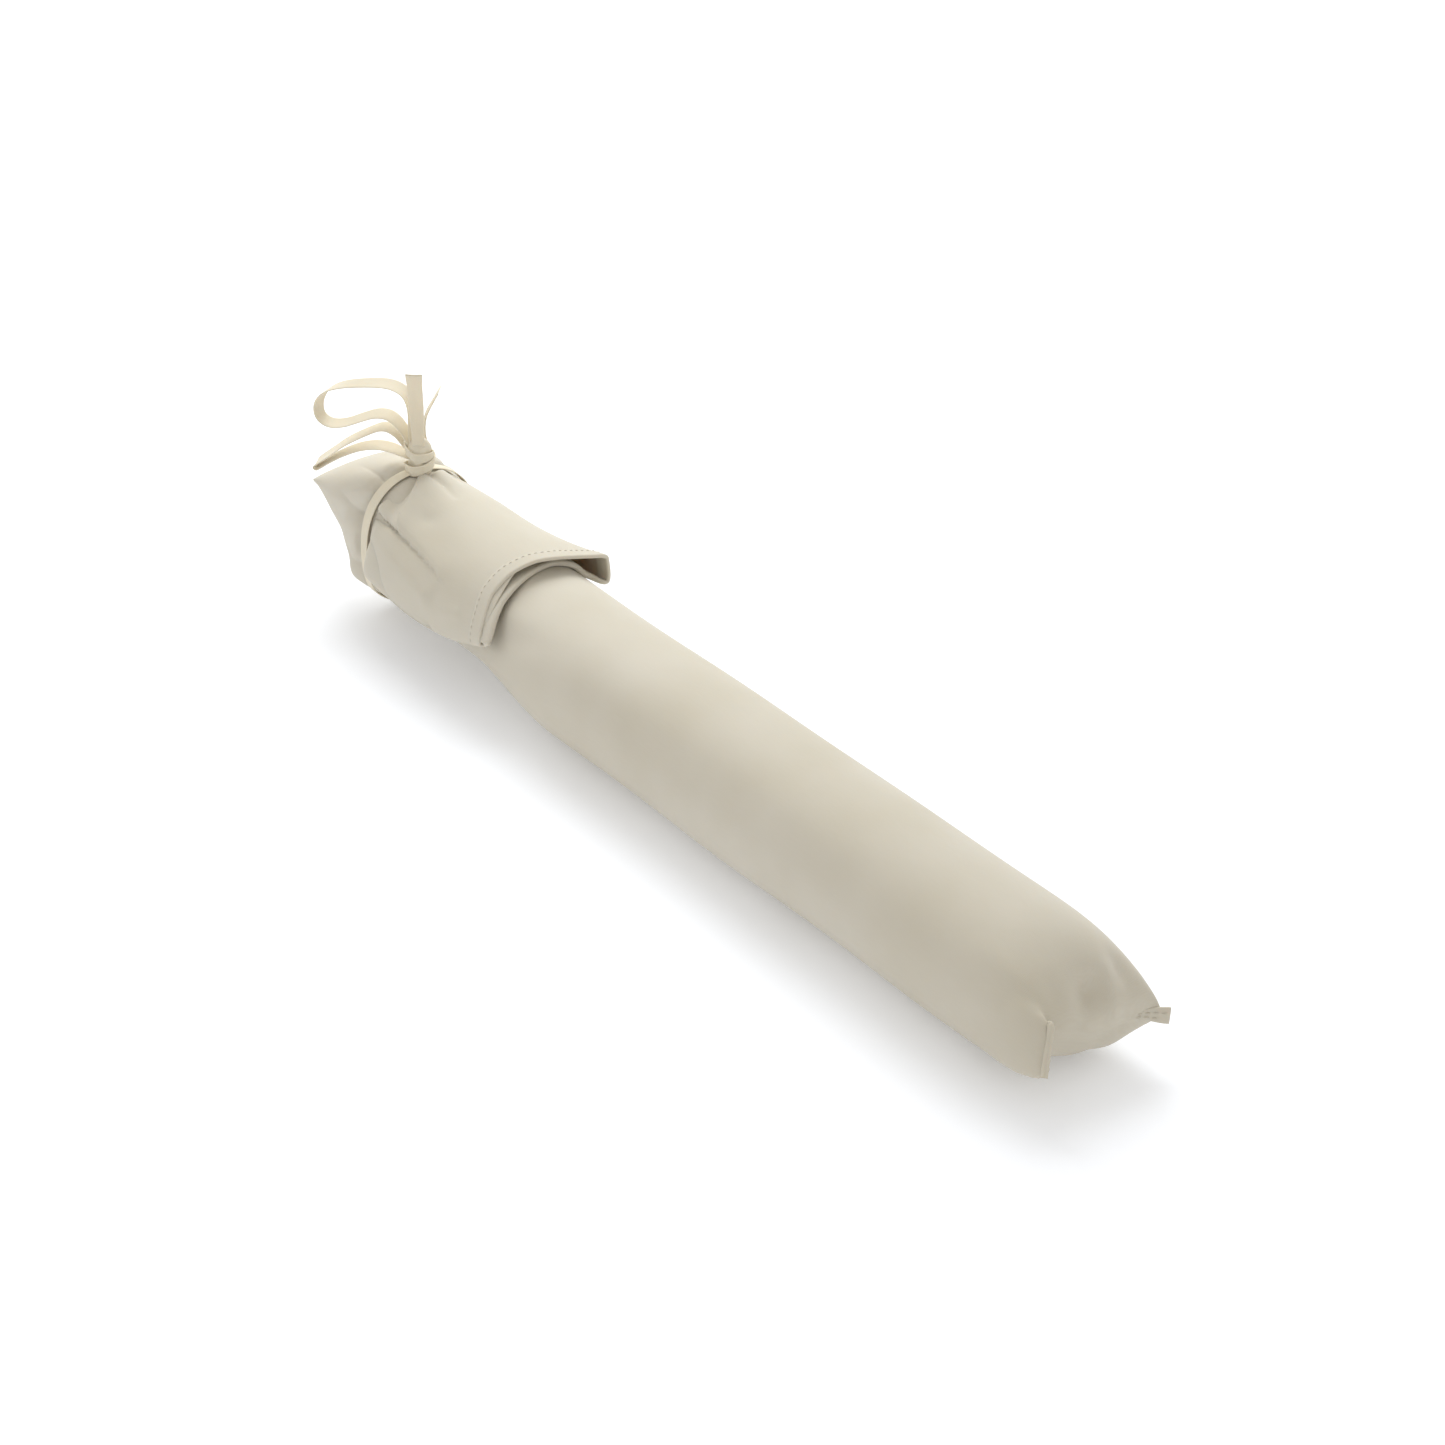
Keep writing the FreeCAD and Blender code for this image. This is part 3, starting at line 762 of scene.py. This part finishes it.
def melt(piece, voxel, passes):
    """Turn a piece whose patches run into each other into one skin: a voxel remesh, smoothed a few times,
    with the cloth's directions laid along the bag and round it."""
    rebuild = piece.modifiers.new("skin", "REMESH")
    rebuild.mode, rebuild.voxel_size, rebuild.use_smooth_shade = "VOXEL", voxel, True
    soften = piece.modifiers.new("soften", "SMOOTH")
    soften.factor, soften.iterations = 0.5, passes
    bpy.context.view_layer.update()
    mesh = bpy.data.meshes.new_from_object(piece.evaluated_get(bpy.context.evaluated_depsgraph_get()))
    piece.modifiers.clear()
    corner, loop = np.zeros(len(mesh.vertices) * 3), np.zeros(len(mesh.loops), np.int32)
    mesh.vertices.foreach_get("co", corner)
    mesh.loops.foreach_get("vertex_index", loop)
    starts = np.zeros(len(mesh.polygons), np.int32)
    mesh.polygons.foreach_get("loop_start", starts)
    x, y, z = corner.reshape(-1, 3)[loop].T
    angle = np.arctan2(z - BODY_MIDDLE * MM, y)
    first = np.repeat(angle[starts], np.diff(np.append(starts, len(loop))))
    angle = first + (angle - first + pi) % (2 * pi) - pi
    layer = mesh.uv_layers.new(name="cloth")
    flat = np.stack([x, BODY_HALF_WIDTH * MM * angle], -1)
    layer.data.foreach_set("uv", flat.astype(np.float32).ravel())
    mesh.polygons.foreach_set("use_smooth", np.ones(len(mesh.polygons), bool))
    piece.data = mesh


def body_rings(x, turn, inset=0.0):
    """The straight part of the body at each x: an oval drawn in by the inset, eased into the neck, and by
    the tied end drawn in on its near side and underneath."""
    ease = smooth(-230, BODY_START, x)[:, None]
    tuck = smooth(-92, -178, x)[:, None]
    ring = oval_ring(turn, BODY_HALF_WIDTH - inset, BODY_LOW + inset, BODY_HIGH - inset, BODY_POWER)
    y = ring[:, 0] * (1 - 0.1 * ease) + 7.0 * tuck * smooth(10, -BODY_HALF_WIDTH, ring[:, 0])
    z = ring[:, 1] + (6.5 * tuck * smooth(45, 0, ring[:, 1]) + 1.0 * ease)
    return np.stack([x[:, None] + 0 * turn, y, z], -1), ring


def cover_points():
    """The filled cover. Each row is an oval, its half width W cos a and half height R sin a, and from
    the taper's start each row closes on the end seam: with u from 0 to 1 along the taper the height is
    scaled by the square root of 1 - u^5, and each point glides to the seam's place at its own width.
    Above the seam the cloth swells past it; underneath the power of u goes down to 1.7."""
    turn = 2 * pi * np.arange(200) / 200
    straight = np.concatenate([np.linspace(BODY_START, -226, 12)[:-1], np.linspace(-226, TAPER_START, 130)])
    blunt = np.sin(np.linspace(0.30, pi / 2, 64)) ** 0.4
    closing = np.concatenate([np.linspace(0, blunt[0], 16)[1:-1], blunt])
    x = np.concatenate([straight, np.full(len(closing), TAPER_START)])
    u = np.concatenate([np.zeros(len(straight)), closing])[:, None]
    rows, ring = body_rings(x, turn)
    seam = seam_by_width(2.0 + BODY_HALF_WIDTH * np.cos(turn))
    # Underneath, between the corners, the cloth comes in sooner than on top.
    upper = smooth(-0.35, 0.1, np.sin(turn))
    early = (1 - upper) * smooth(-0.85, -0.45, np.cos(turn)) * (1 - 0.55 * smooth(0.1, 0.6, np.cos(turn)))
    height = np.sqrt(np.clip(1 - u ** (5 - 3.3 * early), 0, 1))
    glide = u**2.6
    between = smooth(-40, -18, seam[:, 1]) * smooth(39, 20, seam[:, 1])
    between = between * (upper + 0.5 * (1 - upper) * smooth(5, 20, seam[:, 1]))
    rows[..., 0] += (seam[:, 0] - TAPER_START) * u + 4.4 * between * (4 * height * (1 - height)) * (u > 0.5)
    rows[..., 1] += (seam[:, 1] - rows[..., 1]) * glide
    middle = (ring[:, 1].max() + ring[:, 1].min()) / 2
    rows[..., 2] = middle + (seam[:, 2] - middle) * glide + (rows[..., 2] - middle) * height
    return rows


def outward(points):
    """Unit normals of a closed tube's grid, turned away from its rows' middles."""
    normal = grid_normals(points, True)
    away = points - points.mean(1, keepdims=True)
    facing = (normal * away)[..., 1:].sum((0, 1, 2))
    return normal * np.sign(facing)


def shape_cover(points):
    """Slow swells along the body, the soft dents and the pleats by the sewn end, and the flat underside."""
    normal = outward(points)
    x, y, z = points.transpose(2, 0, 1)
    inside = smooth(-256, -240, x)
    lift = 0.45 * np.sin(x / 41 + 0.6) * np.sin(np.arctan2(z - BODY_MIDDLE, y) * 2 + x / 90)
    lift += 0.3 * np.sin(x / 23 + y / 17 + 1.1)
    lift -= dent(points, (266, 6, 42), (11, 8, 7), 6.0)
    lift -= dent(points, (264, 25, 44), (11, 4.5, 10), 4.6)
    lift += dent(points, (266, 16, 38), (8, 3.2, 14), 2.6)
    lift -= crease(points, [(266, 19, 47), (268, 18, 38), (269, 17, 24)], 1.6, 1.2, 1.4)
    lift -= crease(points, [(236, -6, 66), (258, -11, 60), (270, -14, 48)], 5.0, 0.0, 2.6)
    lift += crease(points, [(230, -25, 58), (262, -24, 52), (276, -24, 42)], 6.0, 0.4, 2.0)
    lift -= crease(points, [(-140, -33, 46), (-112, -29, 52), (-90, -26, 54)], 6.0, 1.6, 0.2)
    lift += crease(points, [(-140, -24, 57), (-110, -22, 58)], 6.0, 0.9, 0.0)
    lift -= crease(points, [(-60, -33, 47), (60, -30, 51), (150, -32, 48)], 8.0, 0.7, 0.9)
    points = points + normal * (lift * inside)[..., None]
    # Near the floor the height eases off instead of going below it.
    z = points[..., 2]
    points[..., 2] = (z + np.sqrt(z**2 + 1.0)) / 2
    return points


class COMPRESS_OT_cover(bpy.types.Operator):
    """The filled cotton cover, closed at its sewn end"""

    bl_idname = "compress.cover"
    bl_label = "Cover"

    def execute(self, context):
        points = shape_cover(cover_points())
        patches = [(points, True, True), (ear_points(), True, True)]
        piece = make_mesh("cover", patches, materials(context)["cotton calico, plain woven"])
        melt(piece, SKIN_VOXEL, SKIN_PASSES)
        finish_piece(piece, "bag", "bag_cotton", "bag_body")
        return {"FINISHED"}


def seam_lip_points():
    """The turned seam: a strip along the end seam. It rounds off the near corner, is drawn in between
    the two swells, and stands flat against the end at the far corner. Gives line, across, depth and
    thickness."""
    share = np.linspace(0.0, 1.0, 160)
    line = line_through(LIP, share)
    mix = smooth(0.62, 0.84, share)[:, None]
    across = np.array([0.95, -0.25, -0.1]) * (1 - mix) + np.array([0.1, 0.6, 0.8]) * mix
    near, far = smooth(0.36, 0.26, share), smooth(0.78, 1.0, share)
    depth = 1.2 + 1.6 * near + 6.4 * far
    thickness = 1.2 + 2.0 * near + 1.0 * far
    line = line + np.array([1.0, 0, 0]) * (0.2 + 0.9 * far)[:, None]
    return line, across, depth, thickness


class COMPRESS_OT_end_seam(bpy.types.Operator):
    """The turned seam across the sewn end"""

    bl_idname = "compress.end_seam"
    bl_label = "End seam"

    def execute(self, context):
        pressed = materials(context)["cotton calico, turned and pressed"]
        piece = make_mesh("seam_lip", [(ribbon(*seam_lip_points()), True, True)], pressed)
        finish_piece(piece, "bag", "bag_cotton", "end_seam_lip")
        return {"FINISHED"}


# ---------------------------------------------------------------- neck and flap


# The neck's ovals: x, half width, low, high.
NECK_OVALS = [
    (-238.0, 22.0, 18.0, 58.0), (-245.0, 29.0, 9.0, 71.0), (-252.0, 31.2, 6.4, 75.5), (-257.0, 31.6, 6.2, 77.4),
    (-260.0, 32.0, 6.0, 78.0), (-264.0, 32.0, 6.0, 78.0), (-267.5, 32.6, 5.4, 78.8), (-273.0, 33.4, 4.8, 80.5),
    (-280.0, 33.0, 8.0, 79.6), (-286.0, 32.2, 15.5, 78.4), (-294.0, 31.2, 26.5, 76.2),
    (-303.0, 30.0, 36.5, 72.8), (-312.0, 28.6, 45.0, 68.4), (-319.0, 27.6, 51.0, 64.0),
    (-323.5, 27.0, 53.5, 60.5), (-325.0, 26.6, 56.0, 58.0),
]


def neck_points():
    """The gathered neck and the empty end folded up beyond it: ovals with a smooth line through their
    sizes, and pleats that run along it, deepest at the tie."""
    x, width, low, high = line_through(NECK_OVALS, np.linspace(0, 1, 150)).T
    turn = 2 * pi * np.arange(256) / 256
    rows = np.stack([oval_ring(turn, w, l, h, NECK_POWER) for w, l, h in zip(width, low, high)])
    points = np.concatenate([np.broadcast_to(x[:, None, None], (*rows.shape[:2], 1)), rows], axis=-1)
    normal = outward(points)
    near_tie = np.exp(-(((x + 268) / 17) ** 2)) * smooth(-265.5, -270, x)
    pleat = np.abs(np.sin(5.5 * turn + 0.9 * np.sin(turn + 0.4) + 0.9)) ** 0.8 - 0.55
    lift = 3.4 * near_tie[:, None] * pleat
    lift += crease(points, [(-269, -22, 70), (-282, -25, 66), (-292, -24, 61)], 2.2, 1.8, 1.0)
    lift -= crease(points, [(-268, -27, 62), (-285, -29, 55), (-297, -27, 52)], 4.0, 2.2, 0.4)
    lift += crease(points, [(-268, -31, 52), (-276, -31, 30), (-281, -29, 12)], 4.5, 1.6, 2.2)
    lift -= crease(points, [(-290, -31, 50), (-296, -27, 36)], 7.0, 1.2, 0.6)
    return points + normal * lift[..., None]


class COMPRESS_OT_neck(bpy.types.Operator):
    """The gathered neck and the empty end of the bag folded up beyond it"""

    bl_idname = "compress.neck"
    bl_label = "Neck"

    def execute(self, context):
        points = neck_points()
        piece = make_mesh("neck", [(points, True, True)], materials(context)["cotton calico, plain woven"])
        finish_piece(piece, "bag", "bag_cotton", "neck_cloth")
        return {"FINISHED"}


# Outside of the flap at places along it: (y, z) from the near fold over the top to the far fold.
FLAP_X = [-260.0, -250.0, -232.0, -205.0, -175.0, MOUTH_X]
FLAP_OVER = [
    [(-35.0, 34.0), (-36.8, 44.0), (-34.5, 55.0), (-27.5, 66.0), (-17.0, 73.8), (-5.0, 77.2), (8.0, 76.6),
     (19.0, 72.5), (28.0, 65.5), (34.0, 57.5), (36.0, 50.5), (36.0, 43.0)],
    [(-38.8, 30.5), (-40.0, 40.0), (-38.3, 51.0), (-31.5, 62.5), (-20.5, 71.0), (-6.0, 75.8), (8.5, 75.4),
     (20.5, 71.0), (30.5, 64.5), (36.8, 57.5), (39.0, 51.5), (39.0, 45.0)],
    [(-40.0, 29.8), (-41.0, 39.0), (-39.0, 50.0), (-32.0, 62.0), (-20.0, 70.5), (-5.5, 74.8), (9.0, 74.6),
     (21.0, 70.4), (31.0, 64.6), (37.5, 58.5), (40.3, 52.5), (40.3, 45.5)],
    [(-40.0, 33.5), (-40.6, 42.0), (-37.6, 52.5), (-30.5, 63.5), (-19.0, 71.0), (-4.5, 75.0), (9.0, 74.8),
     (21.0, 71.0), (31.5, 66.0), (38.7, 61.4), (41.2, 56.5), (41.2, 47.5)],
    [(-38.8, 41.5), (-38.8, 47.5), (-35.2, 55.5), (-28.5, 64.2), (-17.5, 72.0), (-4.0, 75.8), (9.0, 75.0),
     (21.0, 71.6), (32.0, 68.2), (39.4, 66.0), (41.6, 62.5), (41.4, 50.5)],
]
UNDER_COUNT = 10
HEM_ROWS = np.linspace(HEM_START, MOUTH_X, 15)[1:]
# A fold of the mouth's cloth, tucked between the two hems on the near side.
TUCK = [
    (-146.6, -37.6, 46.0), (-147.0, -34.8, 54.0), (-148.2, -29.8, 60.6), (-150.4, -24.0, 65.6),
    (-153.0, -17.6, 69.8), (-155.5, -11.5, 72.4),
]


def flap_rows():
    """The x of the flap's rows, closer together where it is gathered and at its hem."""
    return np.concatenate([np.linspace(-260, -238, 40)[:-1], np.linspace(-238, HEM_START, 72), HEM_ROWS])


def flap_tube(x_places, columns=280):
    """The flap's outside as a flattened tube: over the top through the typed places, and back under
    along the body's own oval, with a little room, from the far fold to the near one. It starts as the
    neck's own oval under the tape."""
    angle = np.linspace(pi + 0.15, -0.12, len(FLAP_OVER[0]))
    over = [oval_ring(angle, 31.4, 6.6, 77.4, NECK_POWER)] + [np.array(line) for line in FLAP_OVER]
    loops = []
    for x, line in zip(FLAP_X, over):
        room = 0.9 + 4.0 * smooth(-235, -260, x)
        width, rise, power = BODY_HALF_WIDTH + room, BODY_MIDDLE + room, BODY_POWER
        if x < -255:
            width, rise, power = 29.0, 40.0, NECK_POWER
        sines = (line[[-1, 0], 1] + 3 - BODY_MIDDLE) / rise
        far, near = np.arcsin(np.clip(sines, 0.02, 1) ** (1 / power))
        angle = np.linspace(far, pi - near, UNDER_COUNT)
        under = oval_ring(angle, width, BODY_MIDDLE - rise, BODY_MIDDLE + rise, power)
        loops.append(np.concatenate([line, under]))
    loops = np.array(loops)
    across = through(loops.shape[1], np.arange(columns) / columns, closed=True)
    along = through(len(FLAP_X), np.interp(x_places, FLAP_X, np.linspace(0, 1, len(FLAP_X))))
    yz = np.einsum("ri,ijk,cj->rck", along, loops, across)
    x = np.broadcast_to(np.asarray(x_places)[:, None], yz.shape[:2])
    under = smooth(11.2, 11.9, np.arange(columns) / columns * loops.shape[1]) * np.ones(yz.shape[:2])
    return np.concatenate([x[..., None], yz], axis=-1), under


def mouth_slant(points, under):
    """The mouth isn't square to the bag: how far each layer's edge reaches follows typed places across it."""
    reach = smooth(-215, -152, points[..., 0])
    y = points[..., 1]
    over = np.interp(y, [-39, -36, -28, -17, 0, 10, 30, 42], [5.5, 4.5, 0.5, -0.5, 0.7, 2.0, 1.0, 1.0])
    lower = np.interp(
        y, [-39, -37, -34, -25, -14, 0, 12, 26, 36, 42], [6, 11, 11, 6, 2.4, -2.4, -5.7, -7, -2, 1]
    )
    points = points.copy()
    points[..., 0] += reach * (over * (1 - under) + lower * under)
    return points


def shape_flap(points, under):
    """The flap's folds: the strong drag line from the tie, the puckers by the knot and the soft dents."""
    drag = [(-257, -27.5, 64.5), (-245, -28, 64), (-234, -28.5, 63.5), (-212, -30, 61.5), (-192, -31.5, 59)]
    lift = -crease(points, drag, 2.2, 4.0, 1.2)
    lift += step_fold(points, drag, (-0.3, -0.6, -0.7), 1.4, 9.0, 3.4, 1.2)
    below = [(-250, -34, 56), (-232, -36, 55), (-212, -37.5, 52), (-194, -38, 48)]
    lift += crease(points, below, 6.0, 1.2, 2.2)
    lift -= crease(points, [(-258, -8, 76), (-252, -17, 71), (-246, -25, 65)], 5.0, 5.2, 2.6)
    pucker = [(-258, -2, 77), (-250, -9, 76), (-243, -17, 72.5), (-240, -23, 68.5)]
    lift += step_fold(points, pucker, (-0.7, -0.6, -0.3), 1.0, 11.0, 3.6, 2.0)
    lift -= crease(points, [(-257, 4.5, 77), (-243, 5, 76), (-230, 3, 76)], 2.2, 3.0, 0.6)
    lift += crease(points, [(-256, 11, 76), (-240, 12, 75)], 4.0, 2.2, 0.4)
    lift -= crease(points, [(-257, 18, 73), (-246, 20, 71)], 2.4, 1.8, 0.2)
    lift -= dent(points, (-224, -17.4, 71.7), (7, 5, 6), 1.0)
    lift += crease(points, [(-205, -41, 40), (-186, -41, 44), (-165, -39, 50)], 4.0, 0.0, 0.9)
    lift -= crease(points, [(-190, -40, 34), (-184, -38, 52)], 3.0, 0.9, 0.2)
    lift += 0.35 * np.sin(points[..., 0] / 19 + points[..., 1] / 13)
    lift *= smooth(-259.5, -256, points[..., 0]) * (1 - under)
    return points + outward(points) * lift[..., None]


def shaped_flap():
    """The flap's outside with its slanting mouth and its folds, and how far each place is underneath."""
    tube, under = flap_tube(flap_rows())
    return shape_flap(mouth_slant(tube, under), under), under


def shell(tube, outside, inside, turns=7):
    """A tube of cloth with its thickness: outside out from the tube, inside in from it, and each end
    closed by half a circle. The rows run along the outside, round the mouth and back along the inside."""
    normal = outward(tube)
    outer = tube + normal * outside[..., None]
    inner = tube - normal * inside[..., None]
    ends = []
    for k in (-1, 0):
        middle, reach = (outer[k] + inner[k]) / 2, (outer[k] - inner[k]) / 2
        size = np.linalg.norm(reach, axis=-1, keepdims=True)
        forward = unit(tube[-1] - tube[-2] if k else tube[0] - tube[1])
        angle = np.linspace(0, pi, turns + 2)[1:-1, None, None]
        angle = angle if k else angle[::-1]
        ends.append(middle + reach * np.cos(angle) + forward * size * np.sin(angle))
    return np.concatenate([outer, ends[0], inner[::-1], ends[1]])


class COMPRESS_OT_flap(bpy.types.Operator):
    """The bag's open mouth folded back over the body: two layers of cloth, and the turned hem round it"""

    bl_idname = "compress.flap"
    bl_label = "Flap and hem"

    def execute(self, context):
        found = materials(context)
        plain, pressed = found["cotton calico, plain woven"], found["cotton calico, turned and pressed"]
        sizes = context.scene.compress_sizes
        cloth, hem = sizes.cloth_thickness / MM, sizes.hem_thickness / MM
        tube, under = shaped_flap()
        start = len(tube) - len(HEM_ROWS)
        flat = np.zeros(tube.shape[:2])
        # The flap's cloth runs three rows into its hem.
        flap = shell(tube[: start + 3], flat[: start + 3], flat[: start + 3] + cloth)
        piece = make_ring("flap", flap, plain)
        # The hem stands out a little between its stitching and its edge; the lower layer's is the thicker.
        edge = smooth(0, 0.25, np.linspace(0, 1, len(HEM_ROWS)))[:, None]
        band = shell(tube[start:], 0.35 * edge + flat[start:], hem * (0.75 + 0.45 * under[start:]))
        tuck_line = line_through(TUCK, np.linspace(0, 1, 60))
        tuck = ribbon(tuck_line, np.array([1.0, 0.1, 0.0]), 10.0, 1.7, bow=0.3)
        border = make_ring("hem", band, pressed)
        fold = make_mesh("mouth_tuck", [(tuck, True, True)], pressed)
        for thing, slot, nodes in (
            (piece, "bag_cotton", ["flap_cloth"]),
            (border, "hem_cotton", ["mouth_hem"]),
            (fold, "hem_cotton", []),
        ):
            finish_piece(thing, None, slot, *nodes)
            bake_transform(thing)
        return {"FINISHED"}


# ---------------------------------------------------------------- the filling


# The liner: where its gathers start, where it ends, and the radius of its gathered neck.
LINER_GATHER = 222.0
LINER_END = 236.0
LINER_NECK = 9.0
# The packets of herbs: how many, how far they reach, and their distance from each other and the cover.
PACK_COUNT = 6
PACK_REACH = 219.0
PACK_GAP = 1.6
PACK_INSET = 4.6
PACK_POWER = 8


def pack_points(start, end, inset, power):
    """A filled pack inside the body: its rings are the body's own, drawn in by the inset, and by each end
    they shrink to the middle as the square root of 1 - |2t - 1|^power with t from 0 to 1 along it."""
    share = 0.5 - 0.5 * np.cos(np.linspace(0.09, pi - 0.09, 60))
    points, _ = body_rings(start + (end - start) * share, 2 * pi * np.arange(72) / 72, inset)
    size = np.sqrt(1 - np.abs(2 * share - 1) ** power)[:, None]
    middle = points.mean(1, keepdims=True)
    points[..., 1:] = (middle + (points - middle) * size[..., None])[..., 1:]
    return points


def liner_points():
    """The liner: the body's rings drawn in, closing at each end to a small gathered neck."""
    turn = 2 * pi * np.arange(96) / 96
    far_end = np.linspace(LINER_GATHER, LINER_END, 14)[1:]
    x = np.concatenate([-far_end[::-1], np.linspace(-LINER_GATHER, LINER_GATHER, 90), far_end])
    points, _ = body_rings(np.clip(x, -LINER_GATHER, LINER_GATHER), turn, 3.0)
    points[..., 0] = x[:, None]
    gather = smooth(LINER_GATHER - 8, LINER_GATHER + 5, np.abs(x))[:, None]
    neck = LINER_NECK * (1 + 0.05 * np.sin(14 * turn))
    points[..., 1] += gather * (neck * np.cos(turn) - points[..., 1])
    points[..., 2] += gather * (BODY_MIDDLE + neck * np.sin(turn) - points[..., 2])
    return points


class COMPRESS_OT_filling(bpy.types.Operator):
    """The muslin liner with its two ties, and the packets of herbs inside it"""

    bl_idname = "compress.filling"
    bl_label = "Filling"

    def execute(self, context):
        found = materials(context)
        liner = make_mesh("liner", [(liner_points(), True, True)], found["cotton muslin, open woven"])
        finish_piece(liner, "bag", "liner_muslin", "liner_sleeve")
        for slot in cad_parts["liner_ties"].material_slots:
            slot.material = found["cotton thread, twisted"]
        ends = np.linspace(-PACK_REACH, PACK_REACH, PACK_COUNT + 1)
        for k, (start, end) in enumerate(zip(ends, ends[1:])):
            points = pack_points(start + PACK_GAP / 2, end - PACK_GAP / 2, PACK_INSET, PACK_POWER)
            pack = make_mesh(f"herbs_{k + 1}", [(points, True, True)], found["dried herbs, chopped"])
            finish_piece(pack, "bag", "herb_filling", f"herb_pack_{k + 1}")
        return {"FINISHED"}


# The seam lip's rows: up to the near corner's turn, and the two stretches whose stitches show, each with
# its two rows of stitches at these shares of the lip's depth.
LIP_TURN = 70
LIP_SEWN = [slice(2, 42), slice(136, 159)]
LIP_STITCHES = [-0.22, 0.18]
# The flap's row that the hem's stitches run along, and how far they stand off it.
HEM_STITCH_ROW = -11
HEM_STITCH_OFF = 0.3


def stitch_row(line, away, pitch, thread):
    """One row of stitches along a line: short threads of two thirds of the pitch, each with a round section,
    arched so that its ends go down into the cloth. The away direction is the cloth's outside."""
    step = np.linalg.norm(np.diff(line, axis=0), axis=1)
    far = np.concatenate([[0], np.cumsum(step)])
    starts = np.arange(pitch / 2, far[-1] - pitch, pitch)
    t = np.linspace(0, 1, 7)
    at = starts[:, None] + pitch * 0.66 * t
    centre = np.stack([np.interp(at, far, line[:, k]) for k in range(3)], -1)
    out = unit(np.stack([np.interp(at, far, away[:, k]) for k in range(3)], -1))
    side = unit(np.cross(np.gradient(centre, axis=1), out))
    arch = thread * (np.sin(pi * t) ** 0.5 - 0.55)
    angle = 2 * pi * np.arange(6) / 6
    size = thread / 2 * (0.55 + 0.45 * np.sin(pi * t) ** 0.5)
    round_it = np.cos(angle)[:, None] * side[:, :, None] + np.sin(angle)[:, None] * out[:, :, None]
    points = (centre + out * arch[:, None])[:, :, None] + size[:, None, None] * round_it
    return [(one, True, True) for one in points]


class COMPRESS_OT_stitches(bpy.types.Operator):
    """The rows of stitches along the side seam, the hem and the end seam"""

    bl_idname = "compress.stitches"
    bl_label = "Stitches"

    def execute(self, context):
        cotton = materials(context)["cotton thread, twisted"]
        sizes = context.scene.compress_sizes
        pitch, thread = sizes.stitch_pitch / MM, sizes.thread_thickness / MM
        cover = shape_cover(cover_points())
        normal = outward(cover)
        on_side = (cover[:, 0, 0] > -236) & (cover[:, 0, 0] < TAPER_START)
        side = stitch_row(cover[on_side, 0], normal[on_side, 0], pitch, thread)
        piece = make_mesh("stitches_side", side, cotton)
        finish_piece(piece, "bag", "thread", "side_seam_stitching")
        line, across, depth, thickness = seam_lip_points()
        # The stitches lie on the lip's face towards +Y before its turn, and towards +X after it.
        face = unit(np.cross(np.gradient(line, axis=0), across))
        face[:LIP_TURN] *= np.sign(face[:LIP_TURN, 1:2])
        face[LIP_TURN:] *= np.sign(face[LIP_TURN:, :1])
        row = line + face * thickness[:, None] / 2
        ends = []
        for part in LIP_SEWN:
            for k in LIP_STITCHES:
                ends += stitch_row((row + across * depth[:, None] * k)[part], face[part], pitch, thread)
        piece = make_mesh("stitches_end", ends, cotton)
        finish_piece(piece, "bag", "thread", "end_seam_stitching")
        tube, _ = shaped_flap()
        row, away = (
            np.concatenate([grid[HEM_STITCH_ROW], grid[HEM_STITCH_ROW, :1]]) for grid in (tube, outward(tube))
        )
        hem = stitch_row(row + HEM_STITCH_OFF * away, away, pitch, thread)
        piece = make_mesh("stitches_hem", hem, cotton)
        finish_piece(piece, None, "thread", "hem_stitching")
        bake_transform(piece)
        return {"FINISHED"}


OPERATORS = [
    COMPRESS_OT_stage,
    COMPRESS_OT_bow,
    COMPRESS_OT_tie,
    COMPRESS_OT_cover,
    COMPRESS_OT_end_seam,
    COMPRESS_OT_neck,
    COMPRESS_OT_flap,
    COMPRESS_OT_stitches,
    COMPRESS_OT_filling,
]


class COMPRESS_PT_panel(bpy.types.Panel):
    """The compress's pieces, in the order they are made"""

    bl_idname = "COMPRESS_PT_panel"
    bl_label = "Long herbal compress"
    bl_space_type = "VIEW_3D"
    bl_region_type = "UI"
    bl_category = "Compress"

    def draw(self, context):
        for group in (context.scene.compress_sizes, context.scene.compress_colours):
            for name in group.__annotations__:
                self.layout.prop(group, name)
        for operator in OPERATORS:
            self.layout.operator(operator.bl_idname)


CLASSES = [CompressSizes, CompressColours, *OPERATORS, COMPRESS_PT_panel]


def register():
    for item in CLASSES:
        bpy.utils.register_class(item)
    bpy.types.Scene.compress_sizes = bpy.props.PointerProperty(type=CompressSizes)
    bpy.types.Scene.compress_colours = bpy.props.PointerProperty(type=CompressColours)


def unregister():
    del bpy.types.Scene.compress_colours
    del bpy.types.Scene.compress_sizes
    for item in reversed(CLASSES):
        bpy.utils.unregister_class(item)


def main():
    register()
    for operator in OPERATORS:
        group, name = operator.bl_idname.split(".")
        getattr(getattr(bpy.ops, group), name)()


if __name__ == "__main__":
    main()
